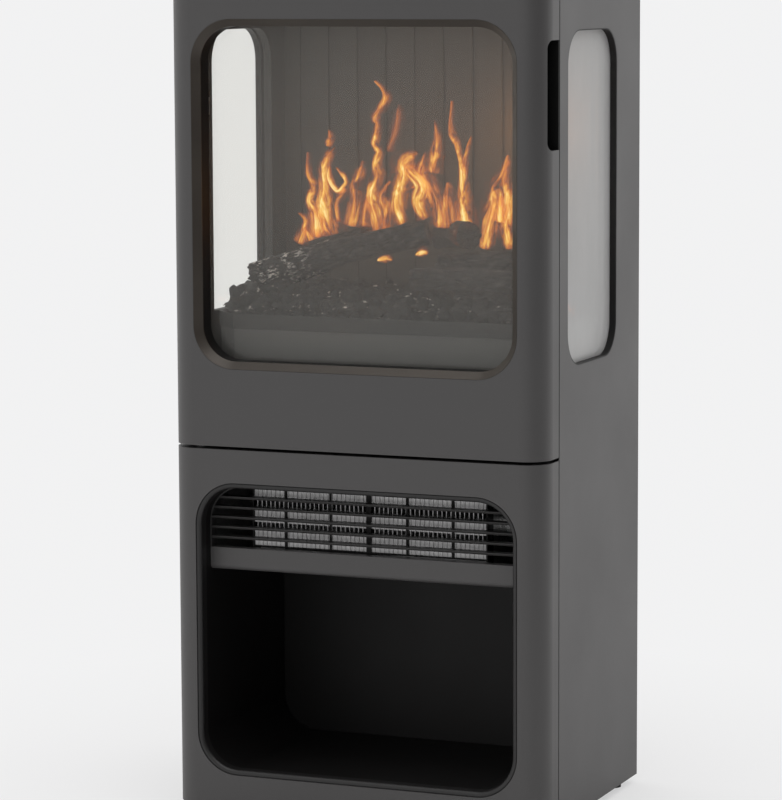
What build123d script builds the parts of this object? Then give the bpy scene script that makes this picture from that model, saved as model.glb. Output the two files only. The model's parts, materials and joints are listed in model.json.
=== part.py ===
from build123d import *
import math
import os

# Water vapour electric fireplace. Millimetres, +Z up, front towards -Y.
# The origin is the middle of the footprint, on the surface that the feet stand on.

# Overall size
width = 500.0
depth = 360.0
body_height = 1090.0
foot_height = 10.0
corner_radius = 32.0

# Sheet and plate thicknesses
front_sheet = 2.0
side_sheet = 1.5
liner_sheet = 1.5
shelf_sheet = 2.0
base_plate_thickness = 3.0
top_plate_thickness = 6.0
glass_thickness = 4.0

# Cuts run past a face by this much, and front openings are cut this deep
over = 1.0
cut_depth = 8.0
tiny = 0.01

# Clearances
fit_gap = 0.3
running_gap = 0.05
door_gap = 3.0
seam_gap = 2.5

# Front shells
split_gap = 4.0
seam_offset = 53.6
front_flange = 42.0

# Front openings
opening_margin = 34.4
opening_radius = 54.0
opening_sill = 40.6
opening_height = 373.6
opening_head = 41.8
window_rail = 97.3
window_head = 98.2

# Side windows
side_window_front = 86.2
side_window_length = 181.5
side_window_rail = 107.3
side_window_head = 113.7
side_window_radius = 42.0
side_glass_recess = 8.5
glass_overlap = 6.0
frame_flange = 8.0
frame_wall = 1.3
frame_gap = 0.2

# Door window
bevel_inset = 9.2
bevel_depth = 9.0
bevel_land = 2.0
bevel_rim = 0.3
seat_flange = 2.0
seat_thickness = 1.5
reveal_wall = 2.0
reveal_depth = 32.0
clip_thickness = 1.5
clip_width = 22.0
clip_spread = 0.5
clip_overlap = 1.0

# Finger pull
pull_length = 34.6
pull_height = 132.0
pull_top_drop = 114.4
pull_radius = 10.0
pull_depth = 24.0
pull_wall = 1.5

# Hinge and catch
pin_radius = 5.0
pin_reach = 14.0
bush_wall = 4.0
bush_length = 12.0
collar_height = 3.5
catch_width = 30.0
catch_height = 24.0
catch_depth = 4.0
strike_overlap = 20.0
strike_inset = 2.0
catch_inset = 105.0

# Log store and warm-air outlet
lip_gap = 0.8
lip_depth = 16.0
lip_inset = 7.0
lip_set = 0.5
lip_round = 1.0
lip_roll = 5.0
store_depth = 255.0
store_height = 258.0
outlet_setback = 28.0
band_height = 28.4
band_radius = 7.0
slat_count = 5
grille_head = 3.4
slat_thickness = 3.2
slat_edge = 0.8
slat_undercut = 2.4
slat_depth = 15.0
mouth_depth = 44.0

# Heater and blower
motor_bay = 51.6
heater_rise = 2.0
heater_head = 6.2
heater_depth = 20.0
heater_setback = 49.0
heater_frame_sheet = 2.0
support_half = 3.2
bracket_half = 1.5
bracket_shares = (0.33, 0.72)
fin_pitch = 6.0
fin_thickness = 1.0
bar_recess = 2.0
fin_recess = 1.0
bar_count = 3
bar_height = 20.0
impeller_radius = 26.0
impeller_disc = 3.0
impeller_end_gap = 4.0
blade_inset = 0.5
blade_angle = 30.0
blade_count = 18
blade_thickness = 1.2
blade_chord = 9.0
blower_setback = 110.0
scroll_gap = 8.0
scroll_sheet = 1.5
shaft_radius = 3.0
motor_radius = 27.0
motor_length = 42.0
motor_round = 3.0
motor_nose = 6.0
bearing_radius = 9.0
bearing_length = 8.0

# Firebox
lining_inset = 23.0
lining_front = 74.0
back_clearance = 49.0
back_thickness = 6.0
groove_pitch = 40.6
groove_width = 4.0
groove_depth = 3.0
ceiling_drop = 75.0

# Vapour unit and fuel bed
unit_margin = 6.0
unit_setback = 60.0
sweep_gap = 3.0
corner_turn = 45.0
unit_back_gap = 5.0
unit_height = 148.0
tray_rim = 18.8
tray_overhang = 2.0
slot_margin = 69.0
slot_width = 24.0
slot_y = 10.0
fan_bay = 81.0
board_bay = 31.0
sump_half_depth = 70.0
sump_height = 74.5
sump_wall = 3.0
hood_wall = 2.0
hood_height = 68.0
transducer_radius = 11.0
transducer_height = 8.0
transducer_rim = 3.0
transducer_dish = 2.0
transducer_count = 4
transducer_pitch = 62.0
led_bar_height = 6.0
led_bar_depth = 12.0
led_bar_y = -34.0
led_bar_drop = 14.0
led_count = 18
led_size = 5.0
led_proud = 1.5
fan_size = 60.0
fan_thickness = 24.0
fan_radius = 25.0
fan_hub_radius = 10.0
fan_pin_radius = 2.0
fan_blades = 7
fan_duct_radius = 20.0
fan_stand_off = 4.0
fan_tip_gap = 1.5
spider_depth = 3.0
spider_width = 4.0
fan_pin_inset = 5.0
fan_wheel_gap = 1.0
fan_blade_chord = 15.0
fan_blade_thickness = 1.5
fan_blade_angle = 35.0
neck_radius = 17.0
neck_wall = 3.0
neck_height = 30.0
neck_shift = 5.0
cap_wall = 2.0
cap_gap = 0.5
cap_height = 18.0
cap_edge = 1.0
board_length = 120.0
board_height = 80.0
board_thickness = 1.6
board_stand_off = 18.0
board_rise = 12.0
stud_radius = 3.0
stud_inset = 8.0
# Each component: y, height up the board, width, height and depth
board_components = ((-30, 20, 24, 20, 12), (10, 50, 16, 14, 9), (36, 24, 12, 26, 14))

# Embers and logs
coal_rows = 7
coal_columns = 12
coal_size = 27.0
bed_height = 20.0
heap_rise = 8.0
coal_tilt = 40.0
coal_shift = 5.0
log_radius = 20.0
# Each log: name, one end, the other end, radius at each end. An end is given as its share of the
# unit's half width and half depth from the middle, then its height over the tray floor. Heights
# and radii are multiples of the log radius.
logs = (
    ("log_front_long", (-0.87, -0.45, 2.8), (0.135, -0.04, 5.7), 0.77, 0.81),
    ("log_rear_left", (-0.87, 0.40, 3.35), (-0.31, 0.35, 5.75), 0.95, 0.95),
    ("log_far_right", (0.21, 0.04, 3.3), (0.93, -0.07, 3.8), 1.0, 1.3),
    ("log_right_stub", (0.41, -0.15, 5.8), (0.05, 0.68, 5.25), 0.85, 0.7),
    ("log_front_right", (0.18, -0.66, 3.0), (0.84, -0.60, 2.9), 0.7, 0.65),
)
log_sides = 11
log_sections = 5
log_bend = 5.0
log_ridge = 0.10
log_rough = 0.05
log_lift = 30.0
settle_steps = 20

# Controls
panel_width = 120.0
panel_height = 40.0
panel_thickness = 2.5
panel_rise = 22.0
panel_corner = 5.0
button_radius = 8.0
button_proud = 3.0
button_pitch = 34.0
button_flange = 1.6
button_edge = 1.0
button_lip = 2.0
button_names = ("button_power", "button_flame", "button_heat")

# Rear
rear_recess = 1.5
rear_cover_sheet = 1.5
rear_cover_side_gap = 4.0
rear_cover_end_gap = 6.0
rear_flange = 14.0
vent_count = 10
vent_length = 60.0
vent_width = 5.0
vent_pitch = 12.0
screw_radius = 2.0
screw_head_radius = 4.0
screw_end_gap = 30.0
screw_reach = 6.0
socket_depth = 0.8
screw_rows = 5
inlet_width = 28.0
inlet_height = 20.0
inlet_depth = 24.0
inlet_x = 150.0
inlet_rise = 70.0
inlet_wall = 2.0
inlet_pins = ((-7, -2), (0, 2), (7, -2))
inlet_pin_drop = 6.0
inlet_pin_half = (1.0, 2.0)
switch_width = 14.0
switch_height = 20.0
switch_gap = 46.0
switch_depth = 16.0
switch_pin_radius = 1.5
switch_pin_drop = 2.0
rocker_neck = 3.0
rocker_end_gap = 0.8
rocker_face_gap = 0.6
rocker_low = 3.4
rocker_mid = 2.2

# Levelling feet
foot_radius = 12.0
foot_pad = 6.0
foot_bevel = 1.5
foot_stem_radius = 4.0
foot_stem_length = 26.0
foot_side_inset = 21.0
foot_end_inset = 40.0
insert_radius = 8.0
insert_height = 12.0

# Derived places
half_width = width / 2
front_y = -depth / 2
rear_y = depth / 2
body_z = foot_height
top_z = body_z + body_height
lower_top = body_z + opening_sill + opening_height + opening_head
door_z = lower_top + split_gap
door_top = top_z - top_plate_thickness - door_gap
seam_y = front_y + seam_offset
side_front_y = seam_y + seam_gap
side_inner = half_width - side_sheet
front_inner = half_width - front_sheet
hinge_x = -(half_width - corner_radius)
hinge_y = front_y + corner_radius
catch_x = half_width - catch_inset
return_sweep = math.hypot(corner_radius, seam_y - hinge_y)
opening_half = half_width - opening_margin
opening_z0 = body_z + opening_sill
opening_z1 = opening_z0 + opening_height
window_z0 = door_z + window_rail
window_z1 = top_z - window_head
window_height = window_z1 - window_z0
side_window_y0 = front_y + side_window_front
side_window_y1 = side_window_y0 + side_window_length
side_window_z0 = door_z + side_window_rail
side_window_z1 = top_z - side_window_head
side_window_height = side_window_z1 - side_window_z0
shelf_top = lower_top - front_sheet
shelf_z = shelf_top - shelf_sheet
rear_cover_y = rear_y - rear_recess - rear_cover_sheet
inner_rear_y = rear_cover_y - side_sheet
chamber_half = half_width - lining_inset
ceiling_height = top_z - ceiling_drop
lining_outer = chamber_half + liner_sheet
back_y = rear_y - back_clearance
side_glass_outer = half_width - side_glass_recess
side_glass_inner = side_glass_outer - glass_thickness
store_half = opening_half - lip_inset
store_z0 = opening_z0 + lip_inset
store_z1 = opening_z1 - lip_inset
store_radius = opening_radius - lip_inset
store_back_y = front_y + store_depth
ceiling_z = opening_z0 + store_height
mouth_y = front_y + lip_depth
mouth_rear_y = front_y + mouth_depth
outlet_y = front_y + outlet_setback
band_top = ceiling_z + band_height
slat_pitch = (store_z1 - band_top - grille_head) / (slat_count + 1)
heater_half = store_half - motor_bay
heater_bottom = band_top + heater_rise
heater_height = opening_z1 - heater_head - heater_bottom
heater_y0 = front_y + heater_setback
heater_y1 = heater_y0 + heater_depth
blower_y = front_y + blower_setback
blower_z = heater_bottom + heater_height / 2
scroll_radius = impeller_radius + scroll_gap
unit_half = chamber_half - unit_margin
slot_half = unit_half - slot_margin
sump_left = unit_half - fan_bay
sump_right = unit_half - board_bay
unit_y0 = front_y + unit_setback
unit_y1 = back_y - unit_back_gap
unit_top = shelf_top + unit_height
tray_floor = unit_top + liner_sheet
rim_z = unit_top + tray_rim
sump_z0 = shelf_top + liner_sheet
sump_top = sump_z0 + sump_height
hood_top = sump_top + hood_height


def block(x0, x1, y0, y1, z0, z1):
    """Box between two corners."""
    centre = Pos((x0 + x1) / 2, (y0 + y1) / 2, (z0 + z1) / 2)
    return centre * Box(x1 - x0, y1 - y0, z1 - z0)


def rod_x(x0, x1, y, z, radius):
    """Cylinder along X."""
    return Pos((x0 + x1) / 2, y, z) * Rot(0, 90, 0) * Cylinder(radius, x1 - x0)


def rod_y(x, y0, y1, z, radius):
    """Cylinder along Y."""
    return Pos(x, (y0 + y1) / 2, z) * Rot(90, 0, 0) * Cylinder(radius, y1 - y0)


def rod_z(x, y, z0, z1, radius):
    """Cylinder along Z."""
    return Pos(x, y, (z0 + z1) / 2) * Cylinder(radius, z1 - z0)


def front_prism(half, z0, z1, radius, y0, y1, taper=0.0):
    """Rounded rectangle seen from the front, from y0 back to y1."""
    plane = Plane(origin=(0, y0, (z0 + z1) / 2), x_dir=(1, 0, 0), z_dir=(0, 1, 0))
    return extrude(plane * RectangleRounded(2 * half, z1 - z0, radius), amount=y1 - y0, taper=taper)


def side_prism(grow, x0, x1):
    """Side window outline, grown all round, from x0 to x1."""
    y_mid = (side_window_y0 + side_window_y1) / 2
    z_mid = (side_window_z0 + side_window_z1) / 2
    plane = Plane(origin=(x0, y_mid, z_mid), x_dir=(0, 1, 0), z_dir=(1, 0, 0))
    outline = RectangleRounded(
        side_window_length + 2 * grow, side_window_height + 2 * grow, side_window_radius + grow
    )
    return extrude(plane * outline, amount=x1 - x0)


def rounded_front(half, y0, y1, radius, z0, z1):
    """Plan outline with two rounded front corners, from z0 up to z1."""
    plan = Pos(0, (y0 + y1) / 2) * Rectangle(2 * half, y1 - y0)
    plan = fillet(plan.vertices().group_by(Axis.Y)[0], radius)
    return Pos(0, 0, z0) * extrude(plan, amount=z1 - z0)


def window_prism(grow, y0, y1, taper=0.0):
    """Door window outline, grown all round, from y0 back to y1."""
    return front_prism(
        opening_half + grow, window_z0 - grow, window_z1 + grow, opening_radius + grow, y0, y1, taper
    )


def store_prism(grow, y0, y1):
    """Log store outline, grown all round, from y0 back to y1."""
    return front_prism(
        store_half + grow, store_z0 - grow, store_z1 + grow, store_radius + grow, y0, y1
    )


def front_wrap(z0, z1):
    """Front sheet bent round both front corners, as far as the seam."""
    outer = rounded_front(half_width, front_y, seam_y, corner_radius, z0, z1)
    inner = rounded_front(
        front_inner, front_y + front_sheet, seam_y + over, corner_radius - front_sheet, z0 - over, z1 + 1
    )
    return outer - inner


def front_flange_plate(z0):
    """Turned-in flange that closes the end of a front shell."""
    plate = rounded_front(
        front_inner, front_y + front_sheet, seam_y, corner_radius - front_sheet, z0, z0 + front_sheet
    )
    return plate - block(-width, width, front_y + front_flange, rear_y, z0 - over, z0 + front_sheet + over)


def group(pieces):
    """Separate solids that share one node."""
    return Compound(children=[piece.solid() for piece in pieces])


def pair(piece):
    """A piece and its mirror image on the other side."""
    return group([piece, mirror(piece, Plane.YZ)])


# Cabinet

def make_base_plate():
    half = front_inner - fit_gap
    plate = rounded_front(
        half, front_y + front_sheet + fit_gap, inner_rear_y, corner_radius - front_sheet - fit_gap,
        body_z, body_z + base_plate_thickness
    )
    for x, y in foot_places():
        plate -= rod_z(x, y, body_z - over, body_z + base_plate_thickness + over, foot_stem_radius + fit_gap)
    return plate


def make_mid_shelf():
    half = front_inner - fit_gap
    shelf = rounded_front(
        half, front_y + front_sheet + fit_gap, inner_rear_y, corner_radius - front_sheet - fit_gap,
        shelf_z, shelf_top
    )
    return shelf


def make_top_plate():
    return rounded_front(
        half_width, front_y, rear_y, corner_radius, top_z - top_plate_thickness, top_z
    )


def make_side_panel():
    """Right side panel: outer sheet, window opening and turned-in rear flange."""
    sheet = block(side_inner, half_width, side_front_y, rear_y, body_z, top_z - top_plate_thickness)
    flange = block(
        side_inner - rear_flange, side_inner, inner_rear_y, rear_cover_y,
        body_z, top_z - top_plate_thickness
    )
    panel = sheet + flange - side_prism(frame_wall + frame_gap, side_inner - over, half_width + over)
    for z in screw_levels():
        panel -= rod_y(screw_x(), inner_rear_y - over, rear_cover_y + over, z, screw_radius + fit_gap)
    return panel


def make_side_frame():
    """Black frame that holds the right side glass and lines its opening."""
    lip_x = half_width - fit_gap
    frame = side_prism(frame_wall, side_glass_outer, lip_x)
    frame += side_prism(frame_flange, side_glass_outer, side_inner)
    return frame - side_prism(0, side_glass_outer - over, half_width + over)


def make_side_glass():
    return side_prism(glass_overlap, side_glass_inner, side_glass_outer)


def make_lining():
    """Right firebox lining with its jamb out to the glass, open from the tray's rim upwards."""
    sheet = block(
        chamber_half, lining_outer, front_y + lining_front, back_y + back_thickness, shelf_top, ceiling_height
    )
    jamb = side_prism(liner_sheet, lining_outer, side_glass_inner)
    jamb &= block(0, width, front_y, rear_y, rim_z - liner_sheet, top_z)
    opening = side_prism(0, chamber_half - over, side_glass_inner + over)
    return sheet + jamb - (opening & block(0, width, front_y, rear_y, rim_z, top_z))


def make_back_panel():
    """Grooved firebox back."""
    panel = block(-chamber_half, chamber_half, back_y, back_y + back_thickness, shelf_top, ceiling_height)
    grooves_each_side = int((chamber_half - groove_width) / groove_pitch)
    for i in range(-grooves_each_side, grooves_each_side + 1):
        x = i * groove_pitch
        cut = Pos(x, back_y) * Rectangle(groove_width, 2 * groove_depth)
        panel -= Pos(0, 0, shelf_top - over) * extrude(cut, amount=ceiling_height - shelf_top + 2 * over)
    return panel


def make_ceiling():
    return block(
        -lining_outer, lining_outer, front_y + lining_front, back_y + back_thickness,
        ceiling_height, ceiling_height + liner_sheet
    )


def screw_x():
    return side_inner - rear_flange / 2


def screw_levels():
    """Heights of the rear cover screws."""
    low = body_z + base_plate_thickness + screw_end_gap
    high = top_z - top_plate_thickness - screw_end_gap
    step = (high - low) / (screw_rows - 1)
    return [low + i * step for i in range(screw_rows)]


def make_rear_cover():
    half = half_width - rear_cover_side_gap
    low = body_z + rear_cover_end_gap
    high = top_z - top_plate_thickness - rear_cover_end_gap
    y0 = rear_cover_y
    y1 = rear_cover_y + rear_cover_sheet
    cover = block(-half, half, y0, y1, low, high)
    for x in (-screw_x(), screw_x()):
        for z in screw_levels():
            cover -= rod_y(x, y0 - over, y1 + over, z, screw_radius + fit_gap)
    for x in (-vent_length, 0, vent_length):
        for i in range(vent_count):
            z = blower_z + (i - (vent_count - 1) / 2) * vent_pitch
            slot = front_prism(
                vent_length / 2 - vent_width, z - vent_width / 2, z + vent_width / 2,
                vent_width / 2 - tiny, y0 - over, y1 + 1
            )
            cover -= Pos(x, 0, 0) * slot
    cover -= inlet_block(0, y0 - over, y1 + over)
    cover -= switch_block(0, y0 - over, y1 + over)
    return cover


def make_rear_screws():
    heads = []
    y0 = inner_rear_y - screw_reach
    y1 = rear_cover_y + rear_cover_sheet
    for x in (-screw_x(), screw_x()):
        for z in screw_levels():
            screw = rod_y(x, y0, y1, z, screw_radius)
            head = rod_y(x, y1, rear_y - fit_gap, z, screw_head_radius)
            socket = rod_y(x, rear_y - fit_gap - socket_depth, rear_y, z, screw_radius / 2)
            heads.append(screw + head - socket)
    return group(heads)


def inlet_block(grow, y0, y1):
    z = body_z + inlet_rise
    return block(
        inlet_x - inlet_width / 2 - grow, inlet_x + inlet_width / 2 + grow, y0, y1,
        z - inlet_height / 2 - grow, z + inlet_height / 2 + grow
    )


def switch_block(grow, y0, y1):
    x = inlet_x - switch_gap
    z = body_z + inlet_rise
    return block(
        x - switch_width / 2 - grow, x + switch_width / 2 + grow, y0, y1,
        z - switch_height / 2 - grow, z + switch_height / 2 + grow
    )


def switch_centre_y():
    return rear_cover_y - switch_pin_drop


def make_mains_module():
    """Mains inlet with three flat pins, and the switch housing with its cross pin, on one plate."""
    y1 = rear_cover_y + rear_cover_sheet
    rear = rear_y - fit_gap
    x = inlet_x - switch_gap
    z = body_z + inlet_rise
    module = block(
        x - switch_width / 2 - inlet_wall, inlet_x + inlet_width / 2 + inlet_wall, y1, rear,
        z - inlet_height / 2 - inlet_wall, z + inlet_height / 2 + inlet_wall
    )
    module += inlet_block(-fit_gap, y1 - inlet_depth, y1)
    module += switch_block(-fit_gap, y1 - switch_depth, y1)
    module -= inlet_block(-fit_gap - inlet_wall, y1 - inlet_depth + inlet_wall, rear_y)
    module -= switch_block(-fit_gap - inlet_wall, y1 - switch_depth + inlet_wall, rear_y)
    half_x, half_z = inlet_pin_half
    for dx, dz in inlet_pins:
        module += block(
            inlet_x + dx - half_x, inlet_x + dx + half_x,
            y1 - inlet_depth + inlet_wall - over, y1 - inlet_pin_drop, z + dz - half_z, z + dz + half_z
        )
    reach = (switch_width - inlet_wall) / 2 - fit_gap
    return module + rod_x(x - reach, x + reach, switch_centre_y(), z, switch_pin_radius)


def make_switch_rocker():
    """Rocker key: a shallow wedge on the cross pin."""
    x = inlet_x - switch_gap
    z = body_z + inlet_rise
    half = switch_width / 2 - 2 * fit_gap - inlet_wall
    tall = switch_height / 2 - 2 * fit_gap - inlet_wall - rocker_end_gap
    y = switch_centre_y()
    face = rear_y - rocker_face_gap
    root = y - rocker_neck
    outline = Polyline(
        (root, z - rocker_neck), (root, z + rocker_neck), (face - rocker_low, z + tall),
        (face - rocker_mid, z), (face, z - tall), (root, z - rocker_neck)
    )
    profile = make_face(Plane.YZ * outline)
    rocker = Pos(x, 0, 0) * extrude(profile, amount=half, both=True)
    return rocker - rod_x(x - half - over, x + half + over, y, z, switch_pin_radius + running_gap)


def foot_places():
    x = half_width - foot_side_inset
    y = depth / 2 - foot_end_inset
    return [(-x, -y), (x, -y), (-x, y), (x, y)]


def make_foot(x, y):
    pad = rod_z(x, y, 0, foot_pad, foot_radius)
    pad = chamfer(pad.edges().group_by(Axis.Z)[-1], foot_bevel)
    return pad + rod_z(x, y, foot_pad - over, foot_pad + foot_stem_length, foot_stem_radius)


def make_foot_inserts():
    z0 = body_z + base_plate_thickness
    inserts = []
    for x, y in foot_places():
        insert = rod_z(x, y, z0, z0 + insert_height, insert_radius)
        insert -= rod_z(x, y, z0 - over, z0 + insert_height + over, foot_stem_radius + running_gap)
        inserts.append(insert)
    return group(inserts)


# Lower front

def make_lower_shell():
    shell = front_wrap(body_z, lower_top) + front_flange_plate(lower_top - front_sheet)
    cut = front_prism(
        opening_half, opening_z0, opening_z1, opening_radius, front_y - over, front_y + cut_depth
    )
    return shell - cut


def make_opening_lip():
    """Rounded lip round the log store, seated behind the front sheet."""
    grow = lip_inset - lip_gap
    lip = store_prism(grow, front_y + lip_set, mouth_y)
    lip = fillet(lip.faces().sort_by(Axis.Y)[0].edges(), lip_round)
    lip += store_prism(
        lip_inset + seat_flange, front_y + front_sheet, front_y + front_sheet + seat_thickness
    )
    lip -= store_prism(0, front_y - over, mouth_y + over)
    inner_edge = lip.faces().sort_by(Axis.Y)[0].inner_wires()[0].edges()
    return fillet(inner_edge, lip_roll)


def make_store_liner():
    """Log store liner, with a full ring at its mouth and an open top behind it."""
    liner = store_prism(liner_sheet, mouth_y, store_back_y + liner_sheet)
    liner -= store_prism(0, mouth_y - over, store_back_y)
    return liner - block(-width, width, mouth_rear_y, rear_y, ceiling_z, top_z)


def make_heater_tray():
    """Log store ceiling, bent up into the band below the grille."""
    inner_half = store_half - fit_gap
    y0 = outlet_y
    sheet = liner_sheet
    profile = block(-inner_half, inner_half, y0, mouth_rear_y, ceiling_z, band_top)
    front_edge = profile.edges().filter_by(Axis.X).group_by(Axis.Z)[0].sort_by(Axis.Y)[0]
    profile = fillet(front_edge, band_radius)
    hollow = block(
        -width, width, y0 + sheet, mouth_rear_y + over, ceiling_z + sheet, band_top - sheet
    )
    edge = hollow.edges().filter_by(Axis.X).group_by(Axis.Z)[0].sort_by(Axis.Y)[0]
    hollow = fillet(edge, band_radius - sheet)
    hollow += block(-width, width, y0 + slat_depth, mouth_rear_y + over, ceiling_z + sheet, band_top + over)
    tray = profile - hollow
    side = store_half + liner_sheet
    return tray + block(-side, side, mouth_rear_y, store_back_y + liner_sheet, ceiling_z, ceiling_z + sheet)


def make_slat(z):
    """Slat with a thin front edge and an undercut below it."""
    top = z + slat_thickness / 2
    low = z - slat_thickness / 2
    y0 = outlet_y
    y1 = outlet_y + slat_depth
    outline = Polyline(
        (y0, top), (y1, top), (y1, low), (y0 + slat_undercut, low), (y0, top - slat_edge), (y0, top)
    )
    return extrude(make_face(Plane.YZ * outline), amount=store_half, both=True)


def make_outlet_grille():
    """Undercut slats held by a thin rim that fits inside the mouth."""
    y1 = outlet_y + slat_depth
    base = band_top + fit_gap
    rim = store_prism(-fit_gap, outlet_y, y1)
    rim -= store_prism(-fit_gap - liner_sheet, outlet_y - over, y1 + over)
    rim -= block(-width, width, outlet_y - over, y1 + over, body_z, base)
    slats = rim
    for i in range(slat_count):
        z = band_top + (i + 1) * slat_pitch
        slats += make_slat(z)
    return slats & store_prism(-fit_gap, outlet_y - over, y1 + over)


def make_heater_frame():
    """Frame round both heater banks, with the dark support in the middle and brackets over the fins."""
    t = heater_frame_sheet
    top = heater_bottom + heater_height
    frame = block(-heater_half - t, heater_half + t, heater_y0, heater_y1, heater_bottom - t, top + t)
    frame -= block(-heater_half, heater_half, heater_y0 - over, heater_y1 + over, heater_bottom, top)
    low = ceiling_z + liner_sheet
    for x in (-heater_half - t, heater_half):
        frame += block(x, x + t, heater_y0, heater_y1, low, heater_bottom)
    for share in bracket_shares:
        for x in (-share * heater_half, share * heater_half):
            frame += block(
                x - bracket_half, x + bracket_half, heater_y0, heater_y0 + fin_recess, heater_bottom, top
            )
    return frame + block(-support_half, support_half, heater_y0, heater_y1, low, top)


def make_heater_bank():
    """Right finned heater bank: level bars with fins between them."""
    x0 = support_half
    x1 = heater_half
    bank = None
    step = (heater_height - bar_height) / (bar_count - 1)
    for i in range(bar_count):
        z = heater_bottom + i * step
        bar = block(x0, x1, heater_y0 + bar_recess, heater_y1 - bar_recess, z, z + bar_height)
        bank = bar if bank is None else bank + bar
    fins = int((x1 - x0) / fin_pitch)
    start = (x0 + x1) / 2 - (fins - over) * fin_pitch / 2
    plates = []
    for i in range(fins):
        x = start + i * fin_pitch
        plates.append(block(
            x - fin_thickness / 2, x + fin_thickness / 2, heater_y0 + fin_recess, heater_y1 - fin_recess,
            heater_bottom, heater_bottom + heater_height
        ))
    return bank + plates


def blower_end():
    return heater_half + heater_frame_sheet


def make_blower_housing():
    """Scroll round the impeller, two end plates and a duct to the heater."""
    end = blower_end()
    r = scroll_radius
    s = scroll_sheet
    outer = rod_x(-end, end, blower_y, blower_z, r + s)
    outer += block(-end, end, heater_y1, blower_y, blower_z - r - s, blower_z + r + s)
    inner_end = end - s
    hollow = rod_x(-inner_end, inner_end, blower_y, blower_z, r)
    hollow += block(-inner_end, inner_end, heater_y1 - over, blower_y, blower_z - r, blower_z + r)
    housing = outer - hollow
    housing -= block(-inner_end, inner_end, blower_y, blower_y + 2 * r, blower_z - r / 2, blower_z + r / 2)
    low = ceiling_z + liner_sheet
    for x in (-end, inner_end):
        housing += block(x, x + s, heater_y1, blower_y + r, low, blower_z - r / 2)
    return housing - rod_x(-end - over, end + over, blower_y, blower_z, shaft_radius + fit_gap)


def make_blower_impeller():
    """Long drum of curved blades between two discs, on its shaft."""
    reach = blower_end() - scroll_sheet - impeller_end_gap
    disc = impeller_disc
    wheel = rod_x(-reach, -reach + disc, blower_y, blower_z, impeller_radius)
    wheel += rod_x(reach - disc, reach, blower_y, blower_z, impeller_radius)
    wheel += rod_x(-disc / 2, disc / 2, blower_y, blower_z, impeller_radius)
    wheel += rod_x(
        -blower_end() - bearing_length, blower_end() + motor_length / 2, blower_y, blower_z, shaft_radius
    )
    blades = []
    for i in range(blade_count):
        angle = i * 360 / blade_count
        blade = Pos(0, 0, impeller_radius - blade_chord / 2 - blade_inset) * Rot(blade_angle, 0, 0) * Box(
            2 * reach - disc, blade_thickness, blade_chord
        )
        blades.append(Pos(0, blower_y, blower_z) * Rot(angle, 0, 0) * blade)
    ring = rod_x(-reach, reach, blower_y, blower_z, impeller_radius)
    return wheel + [blade & ring for blade in blades]


def make_blower_motor():
    x0 = blower_end()
    motor = rod_x(x0, x0 + motor_length, blower_y, blower_z, motor_radius)
    motor = fillet(motor.edges().group_by(Axis.X)[-1], motor_round)
    x1 = x0 + motor_length
    motor += rod_x(x1 - over, x1 + motor_nose, blower_y, blower_z, bearing_radius)
    bore = shaft_radius + running_gap
    return motor - rod_x(x0 - over, x0 + motor_length / 2 + over, blower_y, blower_z, bore)


def make_blower_bearing():
    x1 = -blower_end()
    bush = rod_x(x1 - bearing_length, x1, blower_y, blower_z, bearing_radius)
    return bush - rod_x(x1 - bearing_length - over, x1 + over, blower_y, blower_z, shaft_radius + running_gap)


# Door

def make_door_shell():
    shell = front_wrap(door_z, door_top)
    shell += front_flange_plate(door_z)
    shell += front_flange_plate(door_top - front_sheet)
    shell -= window_prism(0, front_y - over, front_y + cut_depth)
    hole = pin_radius + running_gap + bush_wall + running_gap
    shell -= rod_z(hinge_x, hinge_y, door_z - over, door_top + over, hole)
    return shell - pull_prism(0, half_width - pull_depth, half_width + over)


def pull_prism(grow, x0, x1):
    """Finger pull outline, rounded at its front corners, from x0 to x1."""
    z1 = door_top - pull_top_drop + grow
    z0 = z1 - pull_height - 2 * grow
    y0 = seam_y - pull_length - grow
    y1 = seam_y + over
    plane = Plane(origin=(x0, (y0 + y1) / 2, (z0 + z1) / 2), x_dir=(0, 1, 0), z_dir=(1, 0, 0))
    outline = plane * Rectangle(y1 - y0, z1 - z0)
    outline = fillet(outline.vertices().group_by(Axis.Y)[0], pull_radius + grow)
    return extrude(outline, amount=x1 - x0)


def make_finger_pocket():
    """Black pocket behind the cut-out in the door's right return."""
    inner = rounded_front(
        front_inner, front_y + front_sheet, seam_y, corner_radius - front_sheet, door_z, door_top
    )
    cup = pull_prism(pull_wall, half_width - pull_depth, half_width) & inner
    cup -= pull_prism(0, half_width - pull_depth + pull_wall, half_width + over)
    z1 = door_top - pull_top_drop
    z0 = z1 - pull_height
    back = block(half_width - pull_depth, half_width - fit_gap, seam_y - pull_wall, seam_y, z0, z1)
    return cup + back


def make_window_frame():
    """Bevelled frame in the door's window, seated behind the front sheet."""
    rear = front_y + bevel_depth + bevel_land
    frame = window_prism(-fit_gap, front_y, rear)
    frame += window_prism(seat_flange, front_y + front_sheet, front_y + front_sheet + seat_thickness)
    slope = math.degrees(math.atan((bevel_inset - fit_gap - bevel_rim) / bevel_depth))
    frame -= window_prism(-fit_gap - bevel_rim, front_y, front_y + bevel_depth, slope)
    return frame - window_prism(-bevel_inset, front_y + bevel_depth - over / 2, rear + over)


def make_window_reveal():
    """Black reveal from the bevel back to the glass."""
    front = front_y + bevel_depth + bevel_land
    rear = front_y + reveal_depth
    ring = window_prism(reveal_wall - bevel_inset, front, rear)
    ring += window_prism(glass_overlap - bevel_inset, rear - reveal_wall, rear)
    return ring - window_prism(-bevel_inset, front - over, rear + over)


def make_door_glass():
    rear = front_y + reveal_depth
    return window_prism(glass_overlap - bevel_inset, rear, rear + glass_thickness)


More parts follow.
